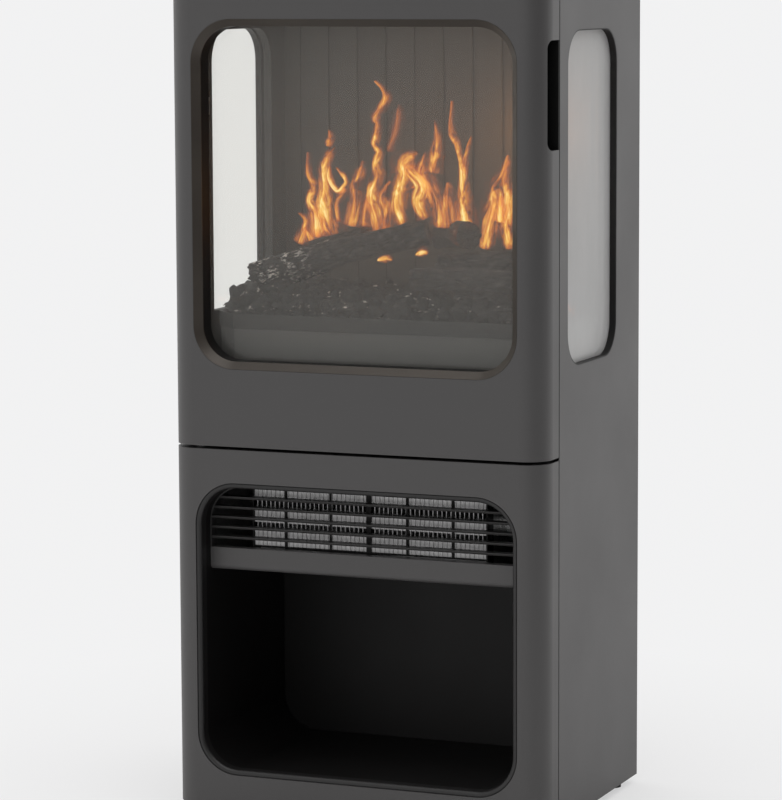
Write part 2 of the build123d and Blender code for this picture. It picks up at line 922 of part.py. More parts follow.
def make_glass_clips():
    """Clips that hook over the edge of the reveal and hold the glass."""
    y0 = front_y + reveal_depth - reveal_wall
    y1 = front_y + reveal_depth + glass_thickness
    edge = glass_overlap - bevel_inset
    collar = window_prism(edge + clip_thickness, y0, y1 + clip_thickness)
    collar -= window_prism(edge, y0 - over, y1)
    collar -= window_prism(-bevel_inset + clip_overlap, y0 - over, y1 + clip_thickness + over)
    z_mid = (window_z0 + window_z1) / 2
    dx = opening_half * clip_spread
    dz = window_height / 2 * clip_spread
    far = 2 * opening_half
    half = clip_width / 2
    clips = []
    for x in (-dx, dx):
        for z0, z1 in ((window_z0, z_mid), (z_mid, window_z1)):
            clips.append(collar & block(x - half, x + half, y0 - over, y1 + 2 * clip_thickness, z0, z1))
    for z in (z_mid - dz, z_mid + dz):
        for x0, x1 in ((-far, 0), (0, far)):
            clips.append(collar & block(x0, x1, y0 - over, y1 + 2 * clip_thickness, z - half, z + half))
    return group(clips)


def make_hinge_bush(z0):
    radius = pin_radius + running_gap + bush_wall
    bush = rod_z(hinge_x, hinge_y, z0, z0 + bush_length, radius)
    return bush - rod_z(hinge_x, hinge_y, z0 - over, z0 + bush_length + over, pin_radius + running_gap)


def make_lower_pin():
    pin = rod_z(hinge_x, hinge_y, lower_top, door_z + pin_reach, pin_radius)
    return pin + rod_z(hinge_x, hinge_y, lower_top, lower_top + collar_height, pin_radius + bush_wall)


def make_upper_pin():
    ceiling = top_z - top_plate_thickness
    pin = rod_z(hinge_x, hinge_y, door_top - pin_reach, ceiling, pin_radius)
    return pin + rod_z(hinge_x, hinge_y, door_top + fit_gap, ceiling, pin_radius + bush_wall)


def make_door_magnet():
    z0 = door_z + panel_rise
    half = catch_width / 2
    return block(catch_x - half, catch_x + half, unit_y0 - catch_depth, unit_y0, z0, z0 + catch_height)


def make_magnet_strike():
    """Angle plate on the door's bottom flange that meets the magnet."""
    z0 = door_z + front_sheet
    half = catch_width / 2 - strike_inset
    y1 = unit_y0 - catch_depth - fit_gap
    y0 = front_y + front_flange - strike_overlap
    plate = block(catch_x - half, catch_x + half, y0, y1, z0, z0 + side_sheet)
    top = door_z + panel_rise + catch_height
    return plate + block(catch_x - half, catch_x + half, y1 - side_sheet, y1, z0, top)


# Vapour unit

def unit_prism(grow, z0, z1):
    """Plan outline of the vapour unit, grown all round, its corners cut where the door's return sweeps past."""
    prism = block(-unit_half - grow, unit_half + grow, unit_y0 - grow, unit_y1 + grow, z0, z1)
    reach = 2 * (return_sweep + sweep_gap - grow)
    corner = Pos(0, 0, (z0 + z1) / 2) * Box(2 * unit_half, reach, z1 - z0 + 2 * over)
    for side in (-1, 1):
        prism -= Pos(-side * hinge_x, hinge_y, 0) * Rot(0, 0, side * corner_turn) * corner
    return prism


def button_x(i):
    return (i - (len(button_names) - 1) / 2) * button_pitch


def button_z():
    return door_z + panel_rise + panel_height / 2


def make_chassis():
    """Open-topped chassis whose front shows below the fuel bed."""
    chassis = unit_prism(0, shelf_top, unit_top)
    chassis -= unit_prism(-liner_sheet, shelf_top + liner_sheet, unit_top + over)
    hole = button_radius + fit_gap
    for i in range(len(button_names)):
        chassis -= rod_y(button_x(i), unit_y0 - over, unit_y0 + liner_sheet + over, button_z(), hole)
    return chassis


def make_control_panel():
    z0 = door_z + panel_rise
    panel = block(
        -panel_width / 2, panel_width / 2, unit_y0 - panel_thickness, unit_y0, z0, z0 + panel_height
    )
    panel = fillet(panel.edges().filter_by(Axis.Y), panel_corner)
    hole = button_radius + fit_gap
    for i in range(len(button_names)):
        panel -= rod_y(button_x(i), unit_y0 - panel_thickness - over, unit_y0 + over, button_z(), hole)
    return panel


def make_button(i):
    """Push button with a flange that stops it behind the chassis front."""
    face = unit_y0 - panel_thickness - button_proud
    stop = unit_y0 + liner_sheet + running_gap
    cap = rod_y(button_x(i), face, stop + button_flange, button_z(), button_radius)
    cap = fillet(cap.edges().group_by(Axis.Y)[0], button_edge)
    return cap + rod_y(button_x(i), stop, stop + button_flange, button_z(), button_radius + button_lip)


def make_sump():
    """Water sump with a port for the fan's air in its left wall."""
    outer = block(-sump_left, sump_right, -sump_half_depth, sump_half_depth, sump_z0, sump_top)
    inner = block(
        -sump_left + sump_wall, sump_right - sump_wall, -sump_half_depth + sump_wall,
        sump_half_depth - sump_wall, sump_z0 + sump_wall, sump_top + over
    )
    port = rod_x(-sump_left - over, -sump_left + sump_wall + over, 0, fan_z(), fan_duct_radius)
    return outer - inner - port


def make_transducers():
    z0 = sump_z0 + sump_wall
    start = -(transducer_count - 1) / 2 * transducer_pitch
    discs = []
    for i in range(transducer_count):
        x = start + i * transducer_pitch
        disc = rod_z(x, 0, z0, z0 + transducer_height, transducer_radius)
        disc -= rod_z(
            x, 0, z0 + transducer_height - transducer_dish, z0 + transducer_height + over,
            transducer_radius - transducer_rim
        )
        discs.append(disc)
    return group(discs)


def hood_shell(shrink):
    """Loft from the sump's rim up to the mist slot."""
    low = Pos(0, 0, sump_top) * Rectangle(2 * sump_left - 2 * shrink, 2 * sump_half_depth - 2 * shrink)
    high = Pos(0, slot_y, hood_top) * Rectangle(2 * slot_half - 2 * shrink, slot_width - 2 * shrink)
    return loft([low, high], ruled=True)


def make_sump_cover():
    """Moulded cover: the mist hood with its slot, and the filling neck beside it."""
    cover = hood_shell(0)
    cover += block(
        sump_left - sump_wall, sump_right, -sump_half_depth, sump_half_depth, sump_top, sump_top + sump_wall
    )
    x = neck_x()
    cover += rod_z(x, 0, sump_top, sump_top + neck_height, neck_radius)
    cover -= hood_shell(hood_wall)
    return cover - rod_z(x, 0, sump_top - over, sump_top + neck_height + over, neck_radius - neck_wall)


def neck_x():
    return (sump_left + sump_right) / 2 + neck_shift


def make_filler_cap():
    z1 = sump_top + neck_height + fit_gap + cap_wall
    z0 = z1 - cap_height
    cap = rod_z(neck_x(), 0, z0, z1, neck_radius + cap_gap + cap_wall)
    cap = chamfer(cap.edges().group_by(Axis.Z)[-1], cap_edge)
    return cap - rod_z(neck_x(), 0, z0 - over, z1 - cap_wall, neck_radius + cap_gap)


def make_led_bar():
    """Bar of amber lamps across the chassis, just below the fuel bed."""
    half = unit_half - liner_sheet
    z1 = unit_top - led_bar_drop
    z0 = z1 - led_bar_height
    bar = block(-half, half, led_bar_y, led_bar_y + led_bar_depth, z0, z1)
    pitch = 2 * slot_half / led_count
    lamps = []
    for i in range(led_count):
        x = -slot_half + (i + 0.5) * pitch
        y = led_bar_y + led_bar_depth / 2
        lamps.append(block(
            x - led_size / 2, x + led_size / 2, y - led_size / 2, y + led_size / 2, z1, z1 + led_proud
        ))
    return bar + lamps


def fan_z():
    return sump_z0 + fan_stand_off + fan_size / 2


def fan_x1():
    return -sump_left - fit_gap


def make_fan_housing():
    """Square fan frame with a rear spider that carries the fan pin."""
    x1 = fan_x1()
    x0 = x1 - fan_thickness
    z = fan_z()
    half = fan_size / 2
    frame = block(x0, x1, -half, half, z - half, z + half)
    frame -= rod_x(x0 - over, x1 + over, 0, z, fan_radius + fan_tip_gap)
    spider = rod_x(x0, x0 + spider_depth, 0, z, fan_hub_radius)
    for angle in (45, 135):
        bar = Box(spider_depth, 2 * (fan_radius + 2 * fan_tip_gap), spider_width)
        spider += Pos(x0 + spider_depth / 2, 0, z) * Rot(angle, 0, 0) * bar
    frame += spider
    frame += rod_x(x0, x1 - fan_pin_inset, 0, z, fan_pin_radius)
    low = block(x0, x1, -half, half, sump_z0, z - half)
    return frame + low


def make_fan_wheel():
    """Axial wheel: a hub with pitched blades."""
    x0 = fan_x1() - fan_thickness + spider_depth + fan_wheel_gap
    x1 = fan_x1() - spider_depth
    z = fan_z()
    wheel = rod_x(x0, x1, 0, z, fan_hub_radius)
    for i in range(fan_blades):
        angle = i * 360 / fan_blades
        blade = Pos(0, 0, (fan_hub_radius + fan_radius - over) / 2) * Rot(0, 0, fan_blade_angle) * Box(
            fan_blade_thickness, fan_blade_chord, fan_radius - fan_hub_radius + over
        )
        wheel += Pos((x0 + x1) / 2, 0, z) * Rot(angle, 0, 0) * blade
    wheel &= rod_x(x0, x1, 0, z, fan_radius)
    return wheel - rod_x(x0 - over, x1 - over, 0, z, fan_pin_radius + running_gap)


def make_control_board():
    """Circuit board on stand-offs inside the chassis's right wall."""
    wall = unit_half - liner_sheet
    x0 = wall - board_stand_off - board_thickness
    z0 = sump_z0 + board_rise
    half = board_length / 2
    board = block(x0, x0 + board_thickness, -half, half, z0, z0 + board_height)
    for y in (-half + stud_inset, half - stud_inset):
        for z in (z0 + stud_inset, z0 + board_height - stud_inset):
            board += rod_x(x0 + board_thickness / 2, wall, y, z, stud_radius)
    for y, z, dy, dz, dx in board_components:
        x1 = x0 + board_thickness
        board += block(x1 - board_thickness / 2, x1 + dx, y, y + dy, z0 + z, z0 + z + dz)
    return board


# Fuel bed

def tray_prism(shrink, z0, z1):
    """Plan outline of the fuel bed tray, shrunk all round."""
    return unit_prism(tray_overhang - shrink, z0, z1)


def slot_block(grow, z0, z1):
    return block(
        -slot_half - grow, slot_half + grow, slot_y - slot_width / 2 - grow, slot_y + slot_width / 2 + grow,
        z0, z1
    )


def make_fuel_tray():
    """Shallow tray with the mist slot through its floor."""
    tray = tray_prism(0, unit_top, rim_z) - tray_prism(liner_sheet, tray_floor, rim_z + over)
    return tray - slot_block(0, unit_top - over, tray_floor + over)


def vary(n):
    """Repeatable number between -1 and 1."""
    return 2 * ((math.sin(n * 12.9898) * 43758.5453) % 1) - 1


def make_ember_bed():
    """Coal bed: a slab with tumbled lumps, open over the mist slot."""
    wall = liner_sheet + fit_gap
    slab_top = tray_floor + bed_height
    bed = tray_prism(wall, tray_floor, slab_top)
    dx = 2 * (unit_half - wall) / coal_columns
    dy = (unit_y1 - unit_y0 - 2 * wall) / coal_rows
    lumps = []
    for row in range(coal_rows):
        for column in range(coal_columns):
            n = row * coal_columns + column + 1
            x = -unit_half + wall + (column + 0.5) * dx + coal_shift * vary(n)
            y = unit_y0 + wall + (row + 0.5) * dy + coal_shift * vary(n + 0.3)
            z = slab_top + coal_shift / 2 * vary(n + 0.5) + (heap_rise if row else 0)
            size = coal_size * (1 + 0.15 * vary(n + 0.7))
            lump = Box(size * 1.2, size, size * 0.8)
            lump = Rot(coal_tilt * vary(n + 0.1), coal_tilt * vary(n + 0.2), 90 * vary(n + 0.4)) * lump
            lumps.append(Pos(x, y, z) * lump)
    bed += lumps
    bed &= tray_prism(wall, tray_floor, slab_top + 2 * coal_size)
    return bed - slot_block(fit_gap, tray_floor - over, slab_top + 2 * coal_size)


def log_end(share_x, share_y, rise):
    """Place of a log's end over the tray."""
    y_mid = (unit_y0 + unit_y1) / 2
    half_depth = (unit_y1 - unit_y0) / 2
    return Vector(share_x * unit_half, y_mid + share_y * half_depth, tray_floor + rise * log_radius)


def make_log(index, start, end, size_start, size_end):
    """Split log: an uneven many-sided section, slightly bent along its length."""
    a = log_end(*start)
    b = log_end(*end)
    along = b - a
    sections = []
    for k in range(log_sections):
        t = k / (log_sections - 1)
        bend = log_bend * math.sin(math.pi * t) * vary(index + 3.1)
        centre = a + along * t + Vector(0, 0, bend)
        radius = log_radius * (size_start + (size_end - size_start) * t)
        points = []
        for i in range(log_sides):
            angle = 2 * math.pi * i / log_sides
            ridge = log_ridge * math.sin(3 * angle + index)
            r = radius * (1 + ridge + log_rough * vary(i + 0.37 * k + index))
            points.append((r * math.cos(angle), r * math.sin(angle)))
        plane = Plane(origin=centre, x_dir=(0, 0, 1), z_dir=along)
        sections.append(plane * make_face(Polyline(*points, close=True)))
    return loft(sections, ruled=True)


def settle(piece, supports):
    """Lower a piece until it rests on one of its supports."""
    for _ in range(settle_steps):
        near = min(piece.distance_to(support) for support in supports)
        if near <= 1.5 * fit_gap:
            break
        piece = Pos(0, 0, fit_gap - near) * piece
    return piece


def make_logs(bed):
    resting = [bed]
    made = {}
    for index, (name, start, end, size_start, size_end) in enumerate(logs):
        lift = Pos(0, 0, log_lift)
        log = settle(lift * make_log(index, start, end, size_start, size_end), resting)
        made[name] = log
        resting.append(log)
    return made


parts = {
    "base_plate": make_base_plate(),
    "mid_shelf": make_mid_shelf(),
    "top_plate": make_top_plate(),
    "right_side_panel": make_side_panel(),
    "left_side_panel": mirror(make_side_panel(), Plane.YZ),
    "side_window_frames": pair(make_side_frame()),
    "side_glasses": pair(make_side_glass()),
    "firebox_linings": pair(make_lining()),
    "firebox_back": make_back_panel(),
    "firebox_ceiling": make_ceiling(),
    "rear_cover": make_rear_cover(),
    "rear_screws": make_rear_screws(),
    "mains_module": make_mains_module(),
    "switch_rocker": make_switch_rocker(),
    "foot_inserts": make_foot_inserts(),
    "lower_front_shell": make_lower_shell(),
    "opening_lip": make_opening_lip(),
    "log_store_liner": make_store_liner(),
    "heater_tray": make_heater_tray(),
    "outlet_grille": make_outlet_grille(),
    "heater_frame": make_heater_frame(),
    "heater_banks": pair(make_heater_bank()),
    "blower_housing": make_blower_housing(),
    "blower_impeller": make_blower_impeller(),
    "blower_motor": make_blower_motor(),
    "blower_bearing": make_blower_bearing(),
    "hinge_pins": group([make_lower_pin(), make_upper_pin()]),
    "door_magnet": make_door_magnet(),
    "door_shell": make_door_shell(),
    "door_window_frame": make_window_frame(),
    "door_window_reveal": make_window_reveal(),
    "door_glass": make_door_glass(),
    "door_glass_clips": make_glass_clips(),
    "finger_pocket": make_finger_pocket(),
    "hinge_bushes": group([make_hinge_bush(door_z), make_hinge_bush(door_top - bush_length)]),
    "magnet_strike": make_magnet_strike(),
    "vapour_unit_chassis": make_chassis(),
    "control_panel": make_control_panel(),
    "water_sump": make_sump(),
    "mist_transducers": make_transducers(),
    "sump_cover": make_sump_cover(),
    "filler_cap": make_filler_cap(),
    "led_bar": make_led_bar(),
    "fan_housing": make_fan_housing(),
    "fan_wheel": make_fan_wheel(),
    "control_board": make_control_board(),
    "fuel_tray": make_fuel_tray(),
    "ember_bed": make_ember_bed(),
}
for number, button in enumerate(button_names):
    parts[button] = make_button(number)
for number, (foot_x, foot_y) in enumerate(foot_places()):
    parts["foot_%d" % (number + 1)] = make_foot(foot_x, foot_y)
parts.update(make_logs(parts["ember_bed"]))

os.makedirs("parts", exist_ok=True)
for node, shape in parts.items():
    export_step(shape, "parts/%s.step" % node)
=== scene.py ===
import json
import math
import random

import bpy
import numpy as np
from mathutils import Matrix, Vector, noise


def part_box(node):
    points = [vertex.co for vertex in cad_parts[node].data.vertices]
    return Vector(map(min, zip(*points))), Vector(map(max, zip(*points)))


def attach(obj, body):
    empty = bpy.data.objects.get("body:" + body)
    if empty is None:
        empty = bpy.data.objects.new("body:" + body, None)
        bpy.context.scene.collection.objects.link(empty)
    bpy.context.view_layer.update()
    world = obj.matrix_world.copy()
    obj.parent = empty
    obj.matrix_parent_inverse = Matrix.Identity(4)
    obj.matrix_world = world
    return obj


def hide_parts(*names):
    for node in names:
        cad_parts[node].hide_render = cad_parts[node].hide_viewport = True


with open("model.json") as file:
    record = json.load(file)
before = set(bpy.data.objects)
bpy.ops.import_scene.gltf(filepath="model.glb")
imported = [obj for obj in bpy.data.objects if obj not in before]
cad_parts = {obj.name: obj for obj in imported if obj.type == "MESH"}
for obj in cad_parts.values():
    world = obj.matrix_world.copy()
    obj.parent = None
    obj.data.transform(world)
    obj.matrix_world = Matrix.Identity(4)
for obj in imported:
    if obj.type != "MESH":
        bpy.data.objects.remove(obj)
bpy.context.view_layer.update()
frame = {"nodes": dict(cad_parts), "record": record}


# Named places and colours, with lengths in metres

slot_y = 0.01
slot_reach = 0.15
# spot on the log bark that gets a painted red glow, standing in for flame light falling there
painted_glow_place = (0.062, -0.02, 0.725)
backdrop = (0.885, 0.885, 0.89, 1.0)


# Camera at the photograph's viewing angle, matched to its edges

photo_width, photo_height = 782, 800
lens, sensor = 157.636, 36.0
focal = lens / sensor * photo_height
camera_place = Vector((1.67387, -4.11236, 1.06868))
yaw, pitch, roll = math.radians(22.42277), math.radians(7.10457), -0.004456
look = Vector((-math.sin(yaw) * math.cos(pitch), math.cos(yaw) * math.cos(pitch), -math.sin(pitch)))
right = Vector((math.cos(yaw), math.sin(yaw), 0.0))
up = right.cross(look)
right, up = right * math.cos(roll) + up * math.sin(roll), up * math.cos(roll) - right * math.sin(roll)


def photo_point(px, py, y):
    """x and z, in metres, where the sight line through a pixel of the photograph meets the plane at y."""
    ray = look + right * ((px - photo_width / 2) / focal) - up * ((py - photo_height / 2) / focal)
    reach = (y - camera_place.y) / ray.y
    return camera_place.x + reach * ray.x, camera_place.z + reach * ray.z


# Shader builder

def add_node(tree, kind, values=None, **settings):
    """New shader node with its settings, and its inputs set or linked."""
    made = tree.nodes.new(kind)
    for key, value in settings.items():
        setattr(made, key, value)
    for key, value in (values or {}).items():
        if isinstance(value, bpy.types.NodeSocket):
            tree.links.new(value, made.inputs[key])
        else:
            made.inputs[key].default_value = value
    return made


class Shader:
    """One material's node tree, with short names for the nodes used below."""

    def __init__(self, name):
        self.mat = bpy.data.materials.new(name)
        self.mat.use_nodes = True
        self.tree = self.mat.node_tree
        self.tree.nodes.clear()
        self.place = self.node("ShaderNodeTexCoord").outputs["Object"]

    def node(self, kind, values=None, **settings):
        return add_node(self.tree, kind, values, **settings)

    def scaled(self, x, y, z, vector=None):
        values = {0: vector or self.place, 1: (x, y, z)}
        return self.node("ShaderNodeVectorMath", values, operation="MULTIPLY").outputs[0]

    def noise(self, scale, detail=2.0, rough=0.5, vector=None, distort=0.0):
        values = {"Vector": vector or self.place, "Scale": scale, "Detail": detail}
        values.update({"Roughness": rough, "Distortion": distort})
        return self.node("ShaderNodeTexNoise", values).outputs[0]

    def cells(self, scale, vector=None, feature="DISTANCE_TO_EDGE"):
        values = {"Vector": vector or self.place, "Scale": scale}
        return self.node("ShaderNodeTexVoronoi", values, feature=feature).outputs[0]

    def span(self, value, low, high, to_low, to_high):
        values = {"Value": value, "From Min": low, "From Max": high, "To Min": to_low, "To Max": to_high}
        return self.node("ShaderNodeMapRange", values).outputs[0]

    def math(self, operation, a, b=0.0, clamp=False):
        return self.node("ShaderNodeMath", {0: a, 1: b}, operation=operation, use_clamp=clamp).outputs[0]

    def mix(self, factor, a, b):
        colours = {0: factor}
        for socket, colour in ((6, a), (7, b)):
            colours[socket] = (*colour, 1.0) if isinstance(colour, tuple) else colour
        return self.node("ShaderNodeMix", colours, data_type="RGBA").outputs[2]

    def bump(self, height, strength, distance, normal=None):
        values = {"Height": height, "Strength": strength, "Distance": distance}
        if normal is not None:
            values["Normal"] = normal
        return self.node("ShaderNodeBump", values).outputs[0]

    def separate(self, vector):
        return self.node("ShaderNodeSeparateXYZ", {0: vector}).outputs

    def done(self, surface):
        self.node("ShaderNodeOutputMaterial", {"Surface": surface})
        return self.mat

    def principled(self, **values):
        renamed = {key.replace("_", " "): value for key, value in values.items()}
        return self.done(self.node("ShaderNodeBsdfPrincipled", renamed).outputs[0])


def shade(colour, factor):
    return tuple(min(1.0, channel * factor) for channel in colour)


def coated(name, colour, metallic=0.0, rough=0.5, spread=0.05, grain=700.0, depth=0.12, cloud=4.0,
           tint=0.06, speck=0.0, shine=0.5):
    """Paint, plastic or plain metal: fine grain, uneven gloss and a slow drift of tone."""
    s = Shader(name)
    slow = s.noise(cloud, 4.0, 0.6)
    fine = s.noise(grain, 3.0, 0.6)
    tone = s.mix(s.span(slow, 0.3, 0.7, 0.0, 1.0), shade(colour, 1 - tint), shade(colour, 1 + tint))
    if speck:
        tone = s.mix(s.span(fine, 0.6, 0.72, 0.0, speck), tone, shade(colour, 2.2))
    drift = s.span(slow, 0.3, 0.7, -spread, spread)
    gloss = s.math("ADD", drift, s.span(fine, 0.3, 0.7, rough - 0.03, rough + 0.03))
    return s.principled(
        Base_Color=tone, Metallic=metallic, Roughness=gloss, Specular_IOR_Level=shine,
        Normal=s.bump(fine, depth, 0.0004)
    )


def brushed(name, colour, rough=0.3, stretch=(1.0, 1.0, 0.04), scale=1500.0):
    """Metal with fine lines along one direction."""
    s = Shader(name)
    lines = s.noise(scale, 3.0, 0.6, s.scaled(*stretch))
    slow = s.noise(8.0, 4.0, 0.6)
    tone = s.mix(s.span(slow, 0.3, 0.7, 0.0, 1.0), shade(colour, 0.85), shade(colour, 1.08))
    gloss = s.span(lines, 0.25, 0.75, rough - 0.08, rough + 0.12)
    return s.principled(Base_Color=tone, Metallic=1.0, Roughness=gloss, Normal=s.bump(lines, 0.15, 0.0003))


def clear_glass(name, painted_reflection, painted_reflection_colour, see=0.99, slope=0.5, outer=None):
    """Pane that shows what is behind it, with a soft reflection and a thin veil, a painted reflection of the
    bright room.

    With outer set, the painted reflection lies only on the faces beyond that distance from the middle plane,
    and shows from outside only.
    """
    s = Shader(name)
    facing = s.node("ShaderNodeLayerWeight", {"Blend": 0.5}).outputs["Facing"]
    reflect = s.math("ADD", s.math("MULTIPLY", s.math("POWER", facing, 5.0), slope), 0.02)
    smudge_and_reflection_drift = s.noise(9.0, 5.0, 0.65, s.scaled(1.0, 1.0, 0.35))
    polish = s.span(smudge_and_reflection_drift, 0.3, 0.7, 0.01, 0.05)
    gloss = s.node("ShaderNodeBsdfGlossy", {"Color": (1, 1, 1, 1), "Roughness": polish})
    through = s.node("ShaderNodeBsdfTransparent", {"Color": (see, see, see * 0.99, 1)})
    # veil: a pale diffuse sheet, a painted reflection of the bright room on the pane
    veil = s.node("ShaderNodeBsdfDiffuse", {"Color": (*painted_reflection_colour, 1)})
    if outer is None:
        back = s.node("ShaderNodeBsdfTranslucent", {"Color": (*painted_reflection_colour, 1)})
        veil = s.node("ShaderNodeMixShader", {0: 0.5, 1: veil.outputs[0], 2: back.outputs[0]})
    # strength of the painted reflection, drifting a little across the pane
    amount = s.span(smudge_and_reflection_drift, 0.3, 0.7, painted_reflection * 0.94, painted_reflection * 1.06)
    if outer is not None:
        x = s.separate(s.place)[0]
        painted_reflection_face = s.math("GREATER_THAN", s.math("ABSOLUTE", x), outer)
        front = s.math("SUBTRACT", 1.0, s.node("ShaderNodeNewGeometry").outputs["Backfacing"])
        amount = s.math("MULTIPLY", amount, s.math("MULTIPLY", painted_reflection_face, front))
    pane = s.node("ShaderNodeMixShader", {0: amount, 1: through.outputs[0], 2: veil.outputs[0]})
    surface = s.node("ShaderNodeMixShader", {0: reflect, 1: pane.outputs[0], 2: gloss.outputs[0]})
    return s.done(surface.outputs[0])


def coal_material():
    """Dull coal with ash on its raised spots, pale specks, and a glow low down beside the mist slot."""
    s = Shader("coal")
    coarse = s.noise(55.0, 6.0, 0.7)
    fine = s.noise(420.0, 5.0, 0.7)
    ash = s.math("MULTIPLY", s.span(coarse, 0.5, 0.68, 0.0, 1.0), s.span(fine, 0.4, 0.6, 0.2, 1.0))
    tone = s.mix(ash, (0.014, 0.013, 0.0125), (0.060, 0.056, 0.05))
    flecks = s.span(s.noise(120.0, 4.0, 0.6, s.scaled(0.7, 1.0, 1.8)), 0.60, 0.66, 0.0, 1.0)
    speck = s.math("MULTIPLY", flecks, s.span(coarse, 0.5, 0.58, 0.0, 1.0))
    tone = s.mix(speck, tone, (0.62, 0.57, 0.51))
    height = s.math("ADD", s.math("MULTIPLY", coarse, 3.0), fine)
    _, y, z = s.separate(s.place)
    near = s.span(s.math("ABSOLUTE", s.math("SUBTRACT", y, slot_y)), 0.012, 0.035, 1.0, 0.0)
    low = s.span(z, 0.632, 0.646, 1.0, 0.0)
    glow = s.math("MULTIPLY", s.math("MULTIPLY", near, low), s.span(coarse, 0.5, 0.6, 0.0, 1.5))
    return s.principled(
        Base_Color=tone, Roughness=s.span(fine, 0.3, 0.7, 0.6, 0.95), Normal=s.bump(height, 0.9, 0.003),
        Emission_Color=(1.0, 0.25, 0.04, 1.0), Emission_Strength=glow
    )


def log_material(name, end):
    """Charred bark, or a charred end with rings. The uv runs round the log and along it, in metres."""
    s = Shader(name)
    uv = s.node("ShaderNodeUVMap", uv_map="grain").outputs[0]
    fine = s.noise(300.0, 5.0, 0.7)
    if end:
        radius = s.separate(uv)[0]
        wavy = s.math("ADD", radius, s.math("MULTIPLY", fine, 0.002))
        rings = s.math("SINE", s.math("MULTIPLY", wavy, 2600.0))
        crack = s.span(s.cells(90.0), 0.0, 0.06, 0.0, 1.0)
        height = s.math("ADD", s.math("MULTIPLY", rings, 0.25), s.math("ADD", crack, fine))
        tone = s.mix(s.span(fine, 0.35, 0.65, 0.0, 1.0), (0.028, 0.021, 0.017), (0.11, 0.075, 0.055))
        glow = s.math("MULTIPLY", s.span(s.noise(28.0, 3.0), 0.58, 0.7, 0.0, 0.10), crack)
        colour = (1.0, 0.16, 0.05, 1.0)
    else:
        grain = s.noise(1.0, 6.0, 0.7, s.scaled(170.0, 28.0, 1.0, uv))
        warp = s.node("ShaderNodeTexNoise", {"Vector": s.place, "Scale": 60.0}).outputs[1]
        shift = s.scaled(0.006, 0.006, 0.006, warp)
        moved = s.node("ShaderNodeVectorMath", {0: uv, 1: shift}, operation="ADD").outputs[0]
        blocks = s.cells(1.0, s.scaled(60.0, 34.0, 1.0, moved))
        crack = s.span(blocks, 0.0, 0.09, 0.0, 1.0)
        relief = s.math("ADD", s.math("MULTIPLY", grain, 2.2), s.math("MULTIPLY", crack, 0.8))
        height = s.math("ADD", relief, s.math("MULTIPLY", fine, 0.5))
        ash = s.math("MULTIPLY", s.span(grain, 0.5, 0.7, 0.0, 1.0), crack)
        tone = s.mix(ash, (0.011, 0.010, 0.0095), (0.050, 0.045, 0.040))
        x = s.separate(s.place)[0]
        flakes = s.span(s.noise(1.0, 5.0, 0.65, s.scaled(260.0, 110.0, 1.0, uv)), 0.50, 0.57, 0.0, 1.0)
        patches = s.span(s.noise(70.0, 3.0), 0.46, 0.54, 0.0, 1.0)
        pale = s.math("MULTIPLY", s.math("MULTIPLY", flakes, patches), s.span(x, -0.15, -0.11, 1.0, 0.05))
        tone = s.mix(pale, tone, (0.95, 0.88, 0.82))
        # painted glow: red light painted on the bark near one spot, in place of flame light falling on it
        painted_glow_distance = s.node("ShaderNodeVectorMath", {0: s.place, 1: painted_glow_place}, operation="DISTANCE")
        near = s.span(painted_glow_distance.outputs["Value"], 0.008, 0.03, 0.10, 0.0)
        glow = s.math("MULTIPLY", near, s.span(grain, 0.4, 0.6, 0.0, 1.0))
        colour = (1.0, 0.2, 0.03, 1.0)
    return s.principled(
        Base_Color=tone, Roughness=s.span(fine, 0.3, 0.7, 0.62, 0.95), Normal=s.bump(height, 1.0, 0.0028),
        Emission_Color=colour, Emission_Strength=glow
    )


